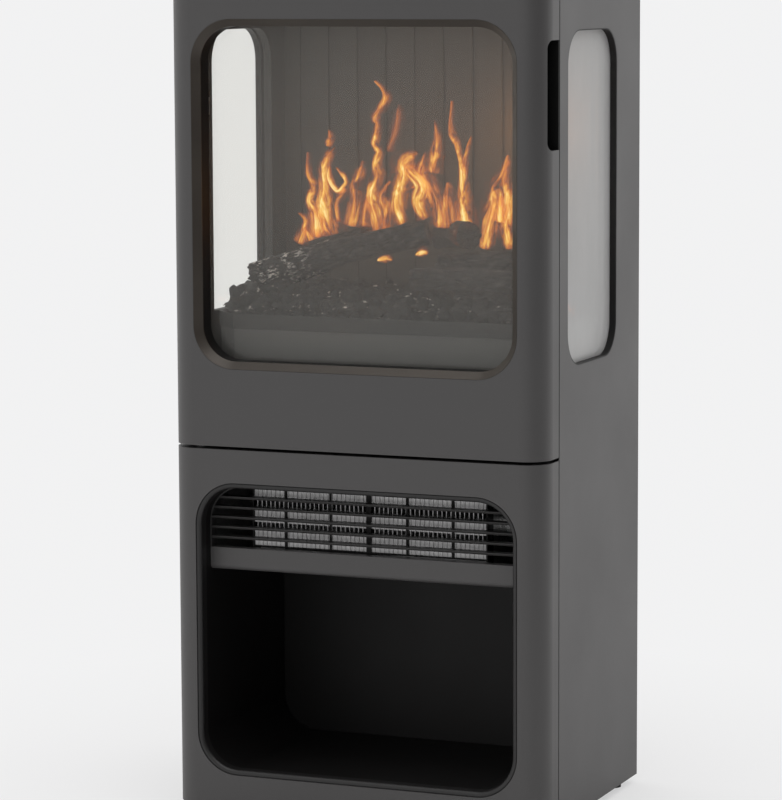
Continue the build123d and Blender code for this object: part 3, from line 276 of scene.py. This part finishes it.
def flame_material():
    """Light on mist: bright in the middle, red and thin towards its edges and its tip."""
    s = Shader("flame")
    shape = s.node("ShaderNodeUVMap", uv_map="shape").outputs[0]
    drift = s.node("ShaderNodeUVMap", uv_map="drift").outputs[0]
    across, along, _ = s.separate(shape)
    power = s.node("ShaderNodeAttribute", attribute_name="power", attribute_type="GEOMETRY").outputs["Fac"]
    broad = s.noise(1.0, 3.0, 0.6, s.scaled(70.0, 24.0, 1.0, drift), 1.0)
    thin = s.noise(1.0, 2.0, 0.5, s.scaled(110.0, 22.0, 1.0, drift), 1.2)
    ragged = s.noise(1.0, 3.0, 0.6, s.scaled(90.0, 60.0, 1.0, drift), 0.6)
    bent = s.math("ADD", across, s.math("MULTIPLY", s.math("SUBTRACT", ragged, 0.5), 2.2))
    swing = s.math("MULTIPLY", s.math("SUBTRACT", thin, 0.5), 8.0)
    strand = s.math("SUBTRACT", 1.0, s.math("ABSOLUTE", swing), clamp=True)
    edge = s.math("SUBTRACT", 1.0, s.math("POWER", s.math("ABSOLUTE", bent), 2.0), clamp=True)
    rim = s.math("SUBTRACT", 1.0, s.math("POWER", s.math("ABSOLUTE", across), 4.0), clamp=True)
    body = s.math("MULTIPLY", edge, s.span(broad, 0.37, 0.62, 0.08, 0.90))
    threads = s.math("MULTIPLY", s.math("POWER", strand, 2.0), s.math("MULTIPLY", edge, 0.42))
    body = s.math("ADD", body, threads)
    ends = s.math("MULTIPLY", s.span(along, 0.0, 0.08, 0.35, 1.0), s.span(along, 0.5, 1.0, 1.0, 0.35))
    body = s.math("MULTIPLY", s.math("MULTIPLY", s.math("MULTIPLY", body, ends), rim), power, clamp=True)
    ramp = s.node("ShaderNodeValToRGB", {"Fac": body})
    stops = (
        (0.0, (0.0, 0.0, 0.0)), (0.12, (0.080, 0.018, 0.006)), (0.34, (0.32, 0.090, 0.012)),
        (0.56, (0.56, 0.26, 0.036)), (0.78, (0.74, 0.44, 0.085)), (1.0, (0.92, 0.70, 0.27))
    )
    elements = ramp.color_ramp.elements
    while len(elements) < len(stops):
        elements.new(0.5)
    for element, (position, colour) in zip(elements, stops):
        element.position = position
        element.color = (*colour, 1.0)
    light = s.node("ShaderNodeEmission", {"Color": ramp.outputs[0], "Strength": 1.0})
    veil = s.math("SUBTRACT", 1.0, s.math("MULTIPLY", body, 0.85))
    tint = s.node("ShaderNodeCombineColor", {0: veil, 1: veil, 2: veil}).outputs[0]
    clear = s.node("ShaderNodeBsdfTransparent", {"Color": tint})
    material = s.done(s.node("ShaderNodeAddShader", {0: clear.outputs[0], 1: light.outputs[0]}).outputs[0])
    material.cycles.emission_sampling = "NONE"
    return material


def lamp_material():
    s = Shader("lamp")
    fine = s.noise(600.0, 3.0, 0.6)
    return s.principled(
        Base_Color=s.mix(fine, (0.8, 0.42, 0.12), (0.9, 0.55, 0.2)), Roughness=0.4,
        Normal=s.bump(fine, 0.1, 0.0003), Emission_Color=(1.0, 0.42, 0.08, 1.0), Emission_Strength=2.0
    )


def board_material():
    s = Shader("board")
    tracks = s.cells(160.0, feature="F1")
    tone = s.mix(s.span(tracks, 0.3, 0.5, 0.0, 1.0), (0.01, 0.09, 0.035), (0.02, 0.16, 0.06))
    return s.principled(Base_Color=tone, Roughness=0.45, Normal=s.bump(tracks, 0.2, 0.0003))


materials = {
    "shell_paint": coated(
        "shell_paint", (0.0665, 0.0640, 0.0646), rough=0.46, grain=1100.0, depth=0.10, speck=0.25, tint=0.03
    ),
    "black_paint": coated("black_paint", (0.0050, 0.0045, 0.0046), rough=0.5, grain=900.0, shine=0.30),
    "dark_paint": coated("dark_paint", (0.045, 0.044, 0.044), rough=0.4, grain=1000.0),
    "chamber_paint": coated(
        "chamber_paint", (0.014, 0.0135, 0.0125), rough=0.6, grain=800.0, depth=0.03, tint=0.1, cloud=7.0
    ),
    # window bevel: dark paint whose brown tint is a painted warm reflection of the flames
    "bevel_paint": coated(
        "bevel_paint", (0.058, 0.049, 0.041), metallic=0.4, rough=0.42, grain=900.0, tint=0.15, cloud=9.0
    ),
    "zinc": brushed("zinc", (0.56, 0.56, 0.56), 0.35),
    "alu": brushed("alu", (0.86, 0.86, 0.87), 0.3),
    "steel": brushed("steel", (0.6, 0.6, 0.6), 0.28),
    "brass": brushed("brass", (0.72, 0.55, 0.27), 0.3),
    "black_plastic": coated("black_plastic", (0.005, 0.005, 0.005), rough=0.48, grain=1600.0, shine=0.25),
    "grey_plastic": coated("grey_plastic", (0.20, 0.20, 0.21), rough=0.5, grain=1400.0),
    "button_plastic": coated("button_plastic", (0.07, 0.07, 0.07), rough=0.4, grain=1500.0),
    "foot_rubber": coated("foot_rubber", (0.012, 0.012, 0.012), rough=0.8, grain=1200.0, depth=0.3),
    "magnet": coated("magnet", (0.03, 0.03, 0.032), rough=0.6, grain=800.0),
    "ceramic_disc": coated("ceramic_disc", (0.75, 0.74, 0.70), rough=0.2, grain=500.0, depth=0.05),
    # door glass: a weak pale veil, a painted reflection of the bright room
    "glass": clear_glass("glass", 0.060, (0.90, 0.885, 0.84)),
    "lamp": lamp_material(),
    "board": board_material(),
    "coal": coal_material(),
    "log": log_material("log_bark", False),
}
by_node = {
    # side panes: a strong pale veil on their outer faces, a painted reflection of the bright room
    "side_glasses": clear_glass("side_glass", 0.46, (0.95, 0.945, 0.945), slope=0.2, outer=0.2405),
    "opening_lip": coated("lip_paint", (0.013, 0.0122, 0.0125), rough=0.42, grain=1000.0),
    # grille slats: paint darker than the shell, partly painted shade for the shadowed louvres
    "outlet_grille": coated("slat_paint_and_shade", (0.030, 0.029, 0.029), rough=0.45, grain=1000.0),
    "heater_banks": brushed("fin_alu", (0.62, 0.615, 0.62), 0.42, scale=500.0),
    "firebox_back": coated(
        "back_paint", (0.054, 0.0535, 0.050), rough=0.6, grain=800.0, depth=0.03, tint=0.08, cloud=7.0
    ),
    "vapour_unit_chassis": coated("unit_paint", (0.066, 0.064, 0.061), rough=0.6, grain=900.0, depth=0.02),
    "fuel_tray": coated(
        "tray_paint", (0.012, 0.0115, 0.011), rough=0.5, grain=900.0, depth=0.02, shine=0.35
    ),
}
log_end = log_material("log_end", True)
for part in frame["record"]["subparts"]:
    node = frame["nodes"][part["node"]]
    material = by_node.get(part["node"], materials[part["material_slot"]])
    for spot in node.material_slots:
        spot.material = material


# Detailed pieces

def new_object(name, verts, faces, mats, smooth=True):
    mesh = bpy.data.meshes.new(name)
    mesh.from_pydata([tuple(v) for v in verts], [], faces)
    for mat in mats:
        mesh.materials.append(mat)
    mesh.polygons.foreach_set("use_smooth", [smooth] * len(mesh.polygons))
    mesh.update()
    made = bpy.data.objects.new(name, mesh)
    bpy.context.scene.collection.objects.link(made)
    return made


def log_mesh(name, ends, radii, seed):
    """Split log with ridges, dents, a flat split side and rough ends."""
    start, end = ends
    along = (end - start).normalized()
    side = along.cross(Vector((0, 0, 1))).normalized()
    up = side.cross(along).normalized()
    length = (end - start).length
    rings, turns, cap = 90, 72, 7
    rng = random.Random(seed)
    flat_angle = rng.uniform(2.2, 4.0)
    offset = Vector((seed * 3.7, seed * 1.3, 0))
    verts = []

    def point(t, angle, inward=1.0):
        radius = radii[0] + (radii[1] - radii[0]) * t
        local = Vector((math.cos(angle), math.sin(angle), 0))
        swell_key = Vector((local.x * 1.1, local.y * 1.1, t * length * 9.0)) + offset
        swell = noise.noise(swell_key)
        ridge_key = Vector((local.x * 5.0, local.y * 5.0, t * length * 14.0)) + offset
        ridge = noise.fractal(ridge_key, 0.9, 2.0, 4)
        chip_key = Vector((local.x * 2.2, local.y * 2.2, t * length * 38.0)) + offset * 2
        chips = max(0.0, noise.noise(chip_key) - 0.12)
        facet = 1.0 - 0.16 * max(0.0, math.cos(angle - flat_angle)) ** 2
        ragged = 0.0
        if t in (0.0, 1.0):
            ragged = 0.005 * noise.noise(Vector((local.x * 3, local.y * 3, 9.0 * round(t))) + offset)
        r = radius * (facet + 0.09 * swell + 0.055 * ridge - 0.16 * chips) * inward
        bend = 0.004 * math.sin(math.pi * t) * math.cos(seed * 1.9)
        dip = 0.0
        if inward < 1.0:
            dip_key = Vector((local.x * inward * 3, local.y * inward * 3, t * 5)) + offset
            dip = 0.0035 * noise.fractal(dip_key, 0.9, 2.0, 4)
        centre = start + along * (t * length + (ragged + dip) * (1 if t > 0.5 else -1))
        return centre + (side * local.x + up * local.y) * r + up * bend

    for i in range(rings + 1):
        t = i / rings
        for j in range(turns):
            angle = 2 * math.pi * j / turns
            verts.append(point(t, angle))
    faces, kinds, corner_uvs = [], [], []
    for i in range(rings):
        for j in range(turns):
            a, b = i * turns + j, i * turns + (j + 1) % turns
            faces.append((a, a + turns, b + turns, b))
            kinds.append(0)
            u0, u1 = j / turns * 2 * math.pi * radii[0], (j + 1) / turns * 2 * math.pi * radii[0]
            v0, v1 = i / rings * length, (i + 1) / rings * length
            corner_uvs.append(((u0, v0), (u0, v1), (u1, v1), (u1, v0)))
    for t, base in ((0.0, 0), (1.0, rings * turns)):
        outer = [base + j for j in range(turns)]
        for k in range(1, cap + 1):
            inward = 1.0 - k / cap * 0.96
            inner = []
            for j in range(turns):
                inner.append(len(verts))
                verts.append(point(t, 2 * math.pi * j / turns, inward))
            r0, r1 = radii[0] * (1.0 - (k - 1) / cap), radii[0] * (1.0 - k / cap)
            for j in range(turns):
                n = (j + 1) % turns
                quad = (outer[j], outer[n], inner[n], inner[j])
                faces.append(quad if t == 0.0 else quad[::-1])
                kinds.append(1)
                quad_uv = ((r0, 0), (r0, 1), (r1, 1), (r1, 0))
                corner_uvs.append(quad_uv if t == 0.0 else quad_uv[::-1])
            outer = inner
        faces.append(tuple(outer) if t == 1.0 else tuple(outer[::-1]))
        kinds.append(1)
        corner_uvs.append(tuple((0.0, 0.0) for _ in outer))
    made = new_object(name, verts, faces, (materials["log"], log_end))
    made.data.polygons.foreach_set("material_index", kinds)
    layer = made.data.uv_layers.new(name="grain")
    flat = [value for face in corner_uvs for uv in face for value in uv]
    layer.data.foreach_set("uv", flat)
    return made


# Each log: the seed of its shape, its radius at both ends in metres, and its direction
logs = {
    "log_front_long": (3, (0.0165, 0.0172), (218, 51, 58)),
    "log_rear_left": (8, (0.0200, 0.0198), (122, -6, 48)),
    "log_far_right": (12, (0.0210, 0.0270), (156, -14, 10)),
    "log_right_stub": (17, (0.0178, 0.0150), (-78, 103, -11)),
    "log_front_right": (23, (0.0148, 0.0138), (143, 7, -2)),
}
end_depth = 0.006
for name, (seed, radii, direction) in logs.items():
    along = Vector(direction).normalized()
    corners = [v.co.copy() for v in frame["nodes"][name].data.vertices]
    reach = [c.dot(along) for c in corners]
    low = [c for c, r in zip(corners, reach) if r < min(reach) + end_depth]
    high = [c for c, r in zip(corners, reach) if r > max(reach) - end_depth]
    ends = [sum(group, Vector()) / len(group) for group in (low, high)]
    piece = log_mesh("detail_" + name, ends, radii, seed)
    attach(piece, "fuel_bed")
    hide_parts(name)


def lump_mesh(rng, base):
    """Broken coal: a sphere cut flat by a few planes, then roughened."""
    points = base.copy()
    for _ in range(11):
        normal = np.array([rng.gauss(0, 1) for _ in range(3)])
        normal /= np.linalg.norm(normal)
        over = points @ normal - rng.uniform(0.52, 0.86)
        points -= np.outer(np.maximum(over, 0.0), normal)
    shift = np.array([rng.uniform(0, 50) for _ in range(3)])
    for k, p in enumerate(points):
        points[k] *= 1.0 + 0.10 * noise.fractal(Vector(p * 2.6 + shift), 0.9, 2.0, 3)
    return points


def ball():
    bpy.ops.mesh.primitive_ico_sphere_add(subdivisions=3, radius=1.0)
    seed_ball = bpy.context.object
    points = np.array([v.co[:] for v in seed_ball.data.vertices])
    faces = [tuple(p.vertices) for p in seed_ball.data.polygons]
    bpy.data.objects.remove(seed_ball)
    return points, faces


tray_low, tray_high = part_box("fuel_tray")
tray_wall = 0.003
bed_floor = tray_low.z + 0.0015
coal_low = 0.6315
coal_rise = 0.0165
corner_x, corner_y, corner_cut = 0.218, -0.148, 0.0586


def bed_height(x, y):
    """Top of the coals: heaped towards the middle and against the left end, low along the front rim."""
    left = math.exp(-((x + 0.188) / 0.04) ** 2) * math.exp(-((y + 0.05) / 0.06) ** 2)
    front = min(max((y + 0.118) / 0.045, 0.0), 1.0)
    return coal_low + coal_rise * front ** 0.8 + 0.010 * left


def inside_tray(x, y, margin):
    """Whether a place is that far inside the tray's walls and its two front corners, cut at 45 degrees."""
    half = (tray_high.x - tray_low.x) / 2 - tray_wall - margin
    low = tray_low.y + tray_wall + margin
    high = tray_high.y - tray_wall - margin
    if abs(x) > half or not low < y < high:
        return False
    return (corner_x - abs(x)) + (y - corner_y) > corner_cut + math.sqrt(2) * margin


def over_slot(x, y, half_width):
    return abs(x) < slot_reach and abs(y - slot_y) < half_width


def make_coals():
    """Two layers of broken coal on a loose grid, the lower one coarser, with the mist slot left open."""
    rng = random.Random(41)
    base, base_faces = ball()
    shapes = [lump_mesh(rng, base) for _ in range(26)]
    verts, faces = [], []
    layers = ((0.019, 0.010, 0.015, 0.010), (0.0165, 0.007, 0.0125, 0.0))
    for pitch, low, high, drop in layers:
        y = tray_low.y
        while y < tray_high.y:
            x = tray_low.x
            while x < tray_high.x:
                size = rng.uniform(low, high)
                px = x + rng.uniform(-1, 1) * pitch * 0.45
                py = y + rng.uniform(-1, 1) * pitch * 0.45
                angle = rng.uniform(0, 6.3)
                axis = Vector([rng.gauss(0, 1) for _ in range(3)]).normalized()
                turn = Matrix.Rotation(angle, 3, axis)
                limits = ((1.0, 1.5), (0.8, 1.1), (0.6, 0.9))
                stretch = Matrix.Diagonal([rng.uniform(*limit) for limit in limits])
                z = bed_height(px, py) - drop + rng.uniform(-0.004, 0.003)
                shape = shapes[rng.randrange(len(shapes))]
                if inside_tray(px, py, size * 0.9) and not over_slot(px, py, 0.016):
                    z = max(z, bed_floor + size * 0.8)
                    start = len(verts)
                    transform = np.array(turn @ stretch) * size
                    placed = shape @ transform.T + np.array((px, py, z))
                    verts.extend(placed.tolist())
                    faces.extend([tuple(start + i for i in f) for f in base_faces])
                x += pitch
            y += pitch
    return new_object("coals", verts, faces, (materials["coal"],), smooth=True)


def make_bed_floor():
    """Rough dark ground under the coals."""
    step = 0.004
    xs = np.arange(tray_low.x + 0.004, tray_high.x - 0.004, step)
    ys = np.arange(tray_low.y + 0.004, tray_high.y - 0.004, step)
    index, verts, faces = {}, [], []
    for i, x in enumerate(xs):
        for j, y in enumerate(ys):
            if inside_tray(x, y, 0.0005) and not over_slot(x, y, 0.011):
                index[i, j] = len(verts)
                z = bed_height(x, y) - 0.012 + 0.004 * noise.fractal(Vector((x, y, 0.3)) * 90.0, 0.9, 2.0, 3)
                verts.append((x, y, max(z, bed_floor + 0.001)))
    for i, j in index:
        quad = [(i, j), (i + 1, j), (i + 1, j + 1), (i, j + 1)]
        if all(q in index for q in quad):
            faces.append(tuple(index[q] for q in quad))
    return new_object("coal_ground", verts, faces, (materials["coal"],))


for piece in (make_coals(), make_bed_floor()):
    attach(piece, "fuel_bed")
    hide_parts("ember_bed")


# Each flame: depth in millimetres, strength, and its line from root to tip, picked in the
# photograph: pixel across, pixel down and width in pixels.
flames = (
    (16, 0.8, ((298.7, 244, 8), (303, 230, 6), (305, 220, 4), (299, 213, 1))),
    (14, 0.7, ((310, 241, 7), (307, 232, 6), (306, 224, 1))),
    (20, 1, ((317.5, 237, 13), (315, 212, 9), (310, 200, 6), (313.7, 188, 6), (307.5, 172, 4),
        (307.5, 152, 2))),
    (18, 1.05, ((328, 236, 20), (323, 212, 15), (325, 190, 10), (324, 170, 8), (327, 157, 6),
        (335, 147, 2))),
    (16, 1.2, ((330, 166, 1), (329, 180, 3.5), (337, 191, 4), (345, 183, 3), (341, 174, 2.5),
        (336, 168, 0.6))),
    (24, 0.55, ((327, 146, 5), (330, 138, 6), (328.5, 130, 1))),
    (14, 1.15, ((338, 222, 3.5), (335.5, 205, 3), (340, 196, 3.5), (345, 188, 3))),
    (22, 0.75, ((350, 226, 15), (354, 202, 9), (355, 184, 7), (361, 170, 6), (363, 161, 2))),
    (24, 0.6, ((363, 226, 10), (366, 206, 7), (368, 192, 2))),
    (20, 1.05, ((377.5, 234, 10), (375, 212, 9), (371, 195, 9), (378, 178, 7), (375.5, 164, 5.5),
        (378.5, 152, 4.5), (374, 142, 4.5), (377.5, 124, 4), (374, 117, 5), (385, 100, 6),
        (382, 90, 3), (374, 81, 1))),
    (16, 0.8, ((384, 230, 9), (386, 210, 8), (381, 196, 6), (390, 181, 2))),
    (26, 0.26, ((389, 152, 5), (395, 130, 7), (397.5, 112, 6), (399, 104, 1))),
    (20, 1.1, ((403, 224, 7), (396, 208, 10), (397.5, 190, 11), (403, 176, 13), (403, 164, 14),
        (411, 157, 9), (418, 153, 1))),
    (18, 1.1, ((424, 220, 7), (417, 202, 10), (421, 186, 14), (411, 172, 11), (404, 164, 4))),
    (22, 0.95, ((438, 228, 9), (437, 208, 11), (430, 190, 12), (421, 173, 9), (424, 157, 3),
        (425, 152, 0.8))),
    (24, 0.85, ((433, 173, 12), (435, 157, 8), (437, 142, 6), (434, 120, 1))),
    (18, 0.85, ((450, 228, 15), (449, 206, 12), (447, 187, 4), (446, 182, 1))),
    (20, 1.1, ((466, 228, 12), (463, 202, 9), (461.5, 174, 4.5), (456, 146, 4), (450, 130, 4),
        (451, 101, 1))),
    (20, 0.9, ((463.5, 174, 3.5), (465, 155, 3), (471, 136, 0.8))),
    (16, 1.05, ((484, 249, 7), (489, 225, 12), (495, 202, 13), (494, 186, 9), (502, 174, 6),
        (508, 155, 1.5))),
    (22, 1, ((509, 249, 7), (507, 224, 12), (508, 196, 9), (506, 176, 6), (509, 160, 2))),
    (18, 0.8, ((498, 222, 16), (501, 208, 14), (500, 196, 4))),
    (-26, 1.2, ((377.5, 260.8, 1.6), (385, 258.6, 3.6), (391.5, 260.6, 1.2))),
    (-20, 1.2, ((415.5, 255, 1.2), (422, 252.4, 4.6), (427, 254.4, 1))),
)
width_share = 0.68


def flame_line(depth, pixels):
    """The flame's line in whole millimetres, x and z, with half its width there."""
    line = []
    for px, py, width in pixels:
        x, z = photo_point(px, py, depth / 1000)
        line.append((round(1000 * x), round(1000 * z), round(width_share * width, 1)))
    return line


def spline(points, t):
    """Point at t from 0 to 1 on a smooth curve through the points."""
    last = len(points) - 1
    s = min(t * last, last - 1e-6)
    k = int(s)
    f = s - k
    p = [points[min(max(k + d, 0), last)] for d in (-1, 0, 1, 2)]
    out = []
    for a, b, c, d in zip(*p):
        bend = (2 * a - 5 * b + 4 * c - d) * f * f
        turn = (3 * b - a - 3 * c + d) * f ** 3
        out.append(0.5 * (2 * b + (c - a) * f + bend + turn))
    return out


def make_flames():
    """Each flame as three curved sheets, one behind another: a broad faint one, a middle one and a core."""
    steps, across = 40, 10
    sheets = ((2.4, 0.42, 3.0), (1.5, 0.90, 0.0), (0.6, 1.0, -2.0))
    verts, faces, shape, drift, power = [], [], [], [], []
    for number, (depth, strength, pixels) in enumerate(flames):
        points = flame_line(depth, pixels)
        length = sum(math.dist(a[:2], b[:2]) for a, b in zip(points, points[1:])) / 1000
        for spread, share, behind in sheets:
            start = len(verts)
            for i in range(steps + 1):
                t = i / steps
                x, z, half = spline(points, t)
                x1, z1, _ = spline(points, min(t + 0.02, 1.0))
                x0, z0, _ = spline(points, max(t - 0.02, 0.0))
                run = math.hypot(x1 - x0, z1 - z0) or 1.0
                nx, nz = (z1 - z0) / run, -(x1 - x0) / run
                half = spread * max(half, 0.15) + 0.6 * (spread - 0.55)
                for j in range(across + 1):
                    u = 2 * j / across - 1
                    bow = behind + 2.0 * u * u + 1.5 * math.sin(5.0 * t + number)
                    place = (x + nx * half * u, depth + bow, z + nz * half * u)
                    verts.append([value / 1000 for value in place])
                    shape.append((u, t))
                    drift.append((u * half / 1000 + 0.37 * number, t * length + 0.71 * number))
                    power.append(strength * share)
            for i in range(steps):
                for j in range(across):
                    a = start + i * (across + 1) + j
                    faces.append((a, a + 1, a + across + 2, a + across + 1))
    made = new_object("flames", verts, faces, (flame_material(),))
    for name, values in (("shape", shape), ("drift", drift)):
        layer = made.data.uv_layers.new(name=name)
        layer.data.foreach_set("uv", [c for loop in made.data.loops for c in values[loop.vertex_index]])
    attribute = made.data.attributes.new("power", "FLOAT", "POINT")
    attribute.data.foreach_set("value", power)
    return made


fire = make_flames()
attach(fire, "cabinet")


# Floor and light

def floor_material():
    s = Shader("floor")
    fine = s.noise(160.0, 4.0, 0.6)
    tone = s.mix(fine, (0.80, 0.80, 0.80), (0.84, 0.84, 0.84))
    matt = s.node("ShaderNodeBsdfDiffuse", {"Color": tone, "Normal": s.bump(fine, 0.05, 0.0005)})
    plain = s.node("ShaderNodeEmission", {"Color": backdrop, "Strength": 1.0})
    x, y, _ = s.separate(s.place)
    far = s.math("SQRT", s.math("ADD", s.math("MULTIPLY", x, x), s.math("MULTIPLY", y, y)))
    seen = s.node("ShaderNodeLightPath").outputs["Is Camera Ray"]
    blend = s.math("MULTIPLY", seen, s.span(far, 0.25, 1.0, 0.6, 1.0))
    surface = s.node("ShaderNodeMixShader", {0: blend, 1: matt.outputs[0], 2: plain.outputs[0]})
    return s.done(surface.outputs[0])


def make_floor():
    verts, faces = [(0, 0, 0)], []
    turns = 96
    radii = (0.5, 1.0, 2.0, 3.5)
    for radius in radii:
        for j in range(turns):
            angle = 2 * math.pi * j / turns
            verts.append((radius * math.cos(angle), radius * math.sin(angle), 0))
    for j in range(turns):
        n = (j + 1) % turns
        faces.append((0, 1 + j, 1 + n))
        for k in range(len(radii) - 1):
            a, b = 1 + k * turns, 1 + (k + 1) * turns
            faces.append((a + j, b + j, b + n, a + n))
    return new_object("floor", verts, faces, (floor_material(),), smooth=False)


floor = make_floor()


def make_world():
    """Soft studio light, dimmer from the front and shaded from the right, behind a plain backdrop."""
    world = bpy.data.worlds.new("studio")
    bpy.context.scene.world = world
    world.use_nodes = True
    tree = world.node_tree
    tree.nodes.clear()

    def node(kind, values=None, **settings):
        return add_node(tree, kind, values, **settings)

    def towards(axis):
        return node("ShaderNodeVectorMath", {0: direction, 1: axis}, operation="DOT_PRODUCT").outputs["Value"]

    def span(value, low, high, to_low, to_high):
        values = {"Value": value, "From Min": low, "From Max": high, "To Min": to_low, "To Max": to_high}
        return node("ShaderNodeMapRange", values).outputs[0]

    direction = node("ShaderNodeTexCoord").outputs["Generated"]
    ambient = span(towards((0.0, 1.0, 0.0)), -0.9, 0.4, 0.75, 1.05)
    shaded = span(towards((0.90, -0.43, 0.0)), 0.50, 0.92, 1.0, 0.08)
    strength = node("ShaderNodeMath", {0: ambient, 1: shaded}, operation="MULTIPLY").outputs[0]
    studio = node("ShaderNodeBackground", {"Color": (1.0, 0.995, 0.99, 1.0), "Strength": strength})
    plain = node("ShaderNodeBackground", {"Color": backdrop, "Strength": 1.0})
    path = node("ShaderNodeLightPath").outputs
    rays = {0: path["Is Camera Ray"], 1: path["Is Transmission Ray"]}
    seen = node("ShaderNodeMath", rays, operation="MAXIMUM").outputs[0]
    mixed = node("ShaderNodeMixShader", {0: seen, 1: studio.outputs[0], 2: plain.outputs[0]})
    node("ShaderNodeOutputWorld", {"Surface": mixed.outputs[0]})


make_world()


def area_light(name, place, target, size, energy):
    data = bpy.data.lights.new(name, "AREA")
    data.shape = "RECTANGLE"
    data.size, data.size_y = size
    data.energy = energy
    lamp = bpy.data.objects.new(name, data)
    bpy.context.scene.collection.objects.link(lamp)
    lamp.location = place
    lamp.rotation_euler = (Vector(target) - Vector(place)).to_track_quat("-Z", "Y").to_euler()
    lamp.visible_camera = False


def fire_light(name, place, energy):
    data = bpy.data.lights.new(name, "POINT")
    data.energy = energy
    data.color = (1.0, 0.42, 0.13)
    data.shadow_soft_size = 0.03
    lamp = bpy.data.objects.new(name, data)
    bpy.context.scene.collection.objects.link(lamp)
    lamp.location = place
    lamp.visible_camera = False
    lamp.visible_glossy = False


area_light("top", (0.3, -0.6, 3.0), (0, 0, 0.6), (2.4, 2.0), 22.0)
fires = (((-0.10, 0.03, 0.80), 0.05), ((0.0, 0.03, 0.80), 0.06), ((0.135, 0.085, 0.86), 0.42))
for number, (place, energy) in enumerate(fires):
    fire_light("fire_%d" % number, place, energy)

camera_data = bpy.data.cameras.new("camera")
camera_data.lens = lens
camera_data.sensor_width = sensor
camera_data.sensor_fit = "AUTO"
camera_data.clip_end = 50.0
camera = bpy.data.objects.new("camera", camera_data)
bpy.context.scene.collection.objects.link(camera)
turn = Matrix((right, up, -look)).transposed()
camera.matrix_world = Matrix.Translation(camera_place) @ turn.to_4x4()
bpy.context.scene.camera = camera
bpy.context.scene.view_settings.view_transform = "Standard"
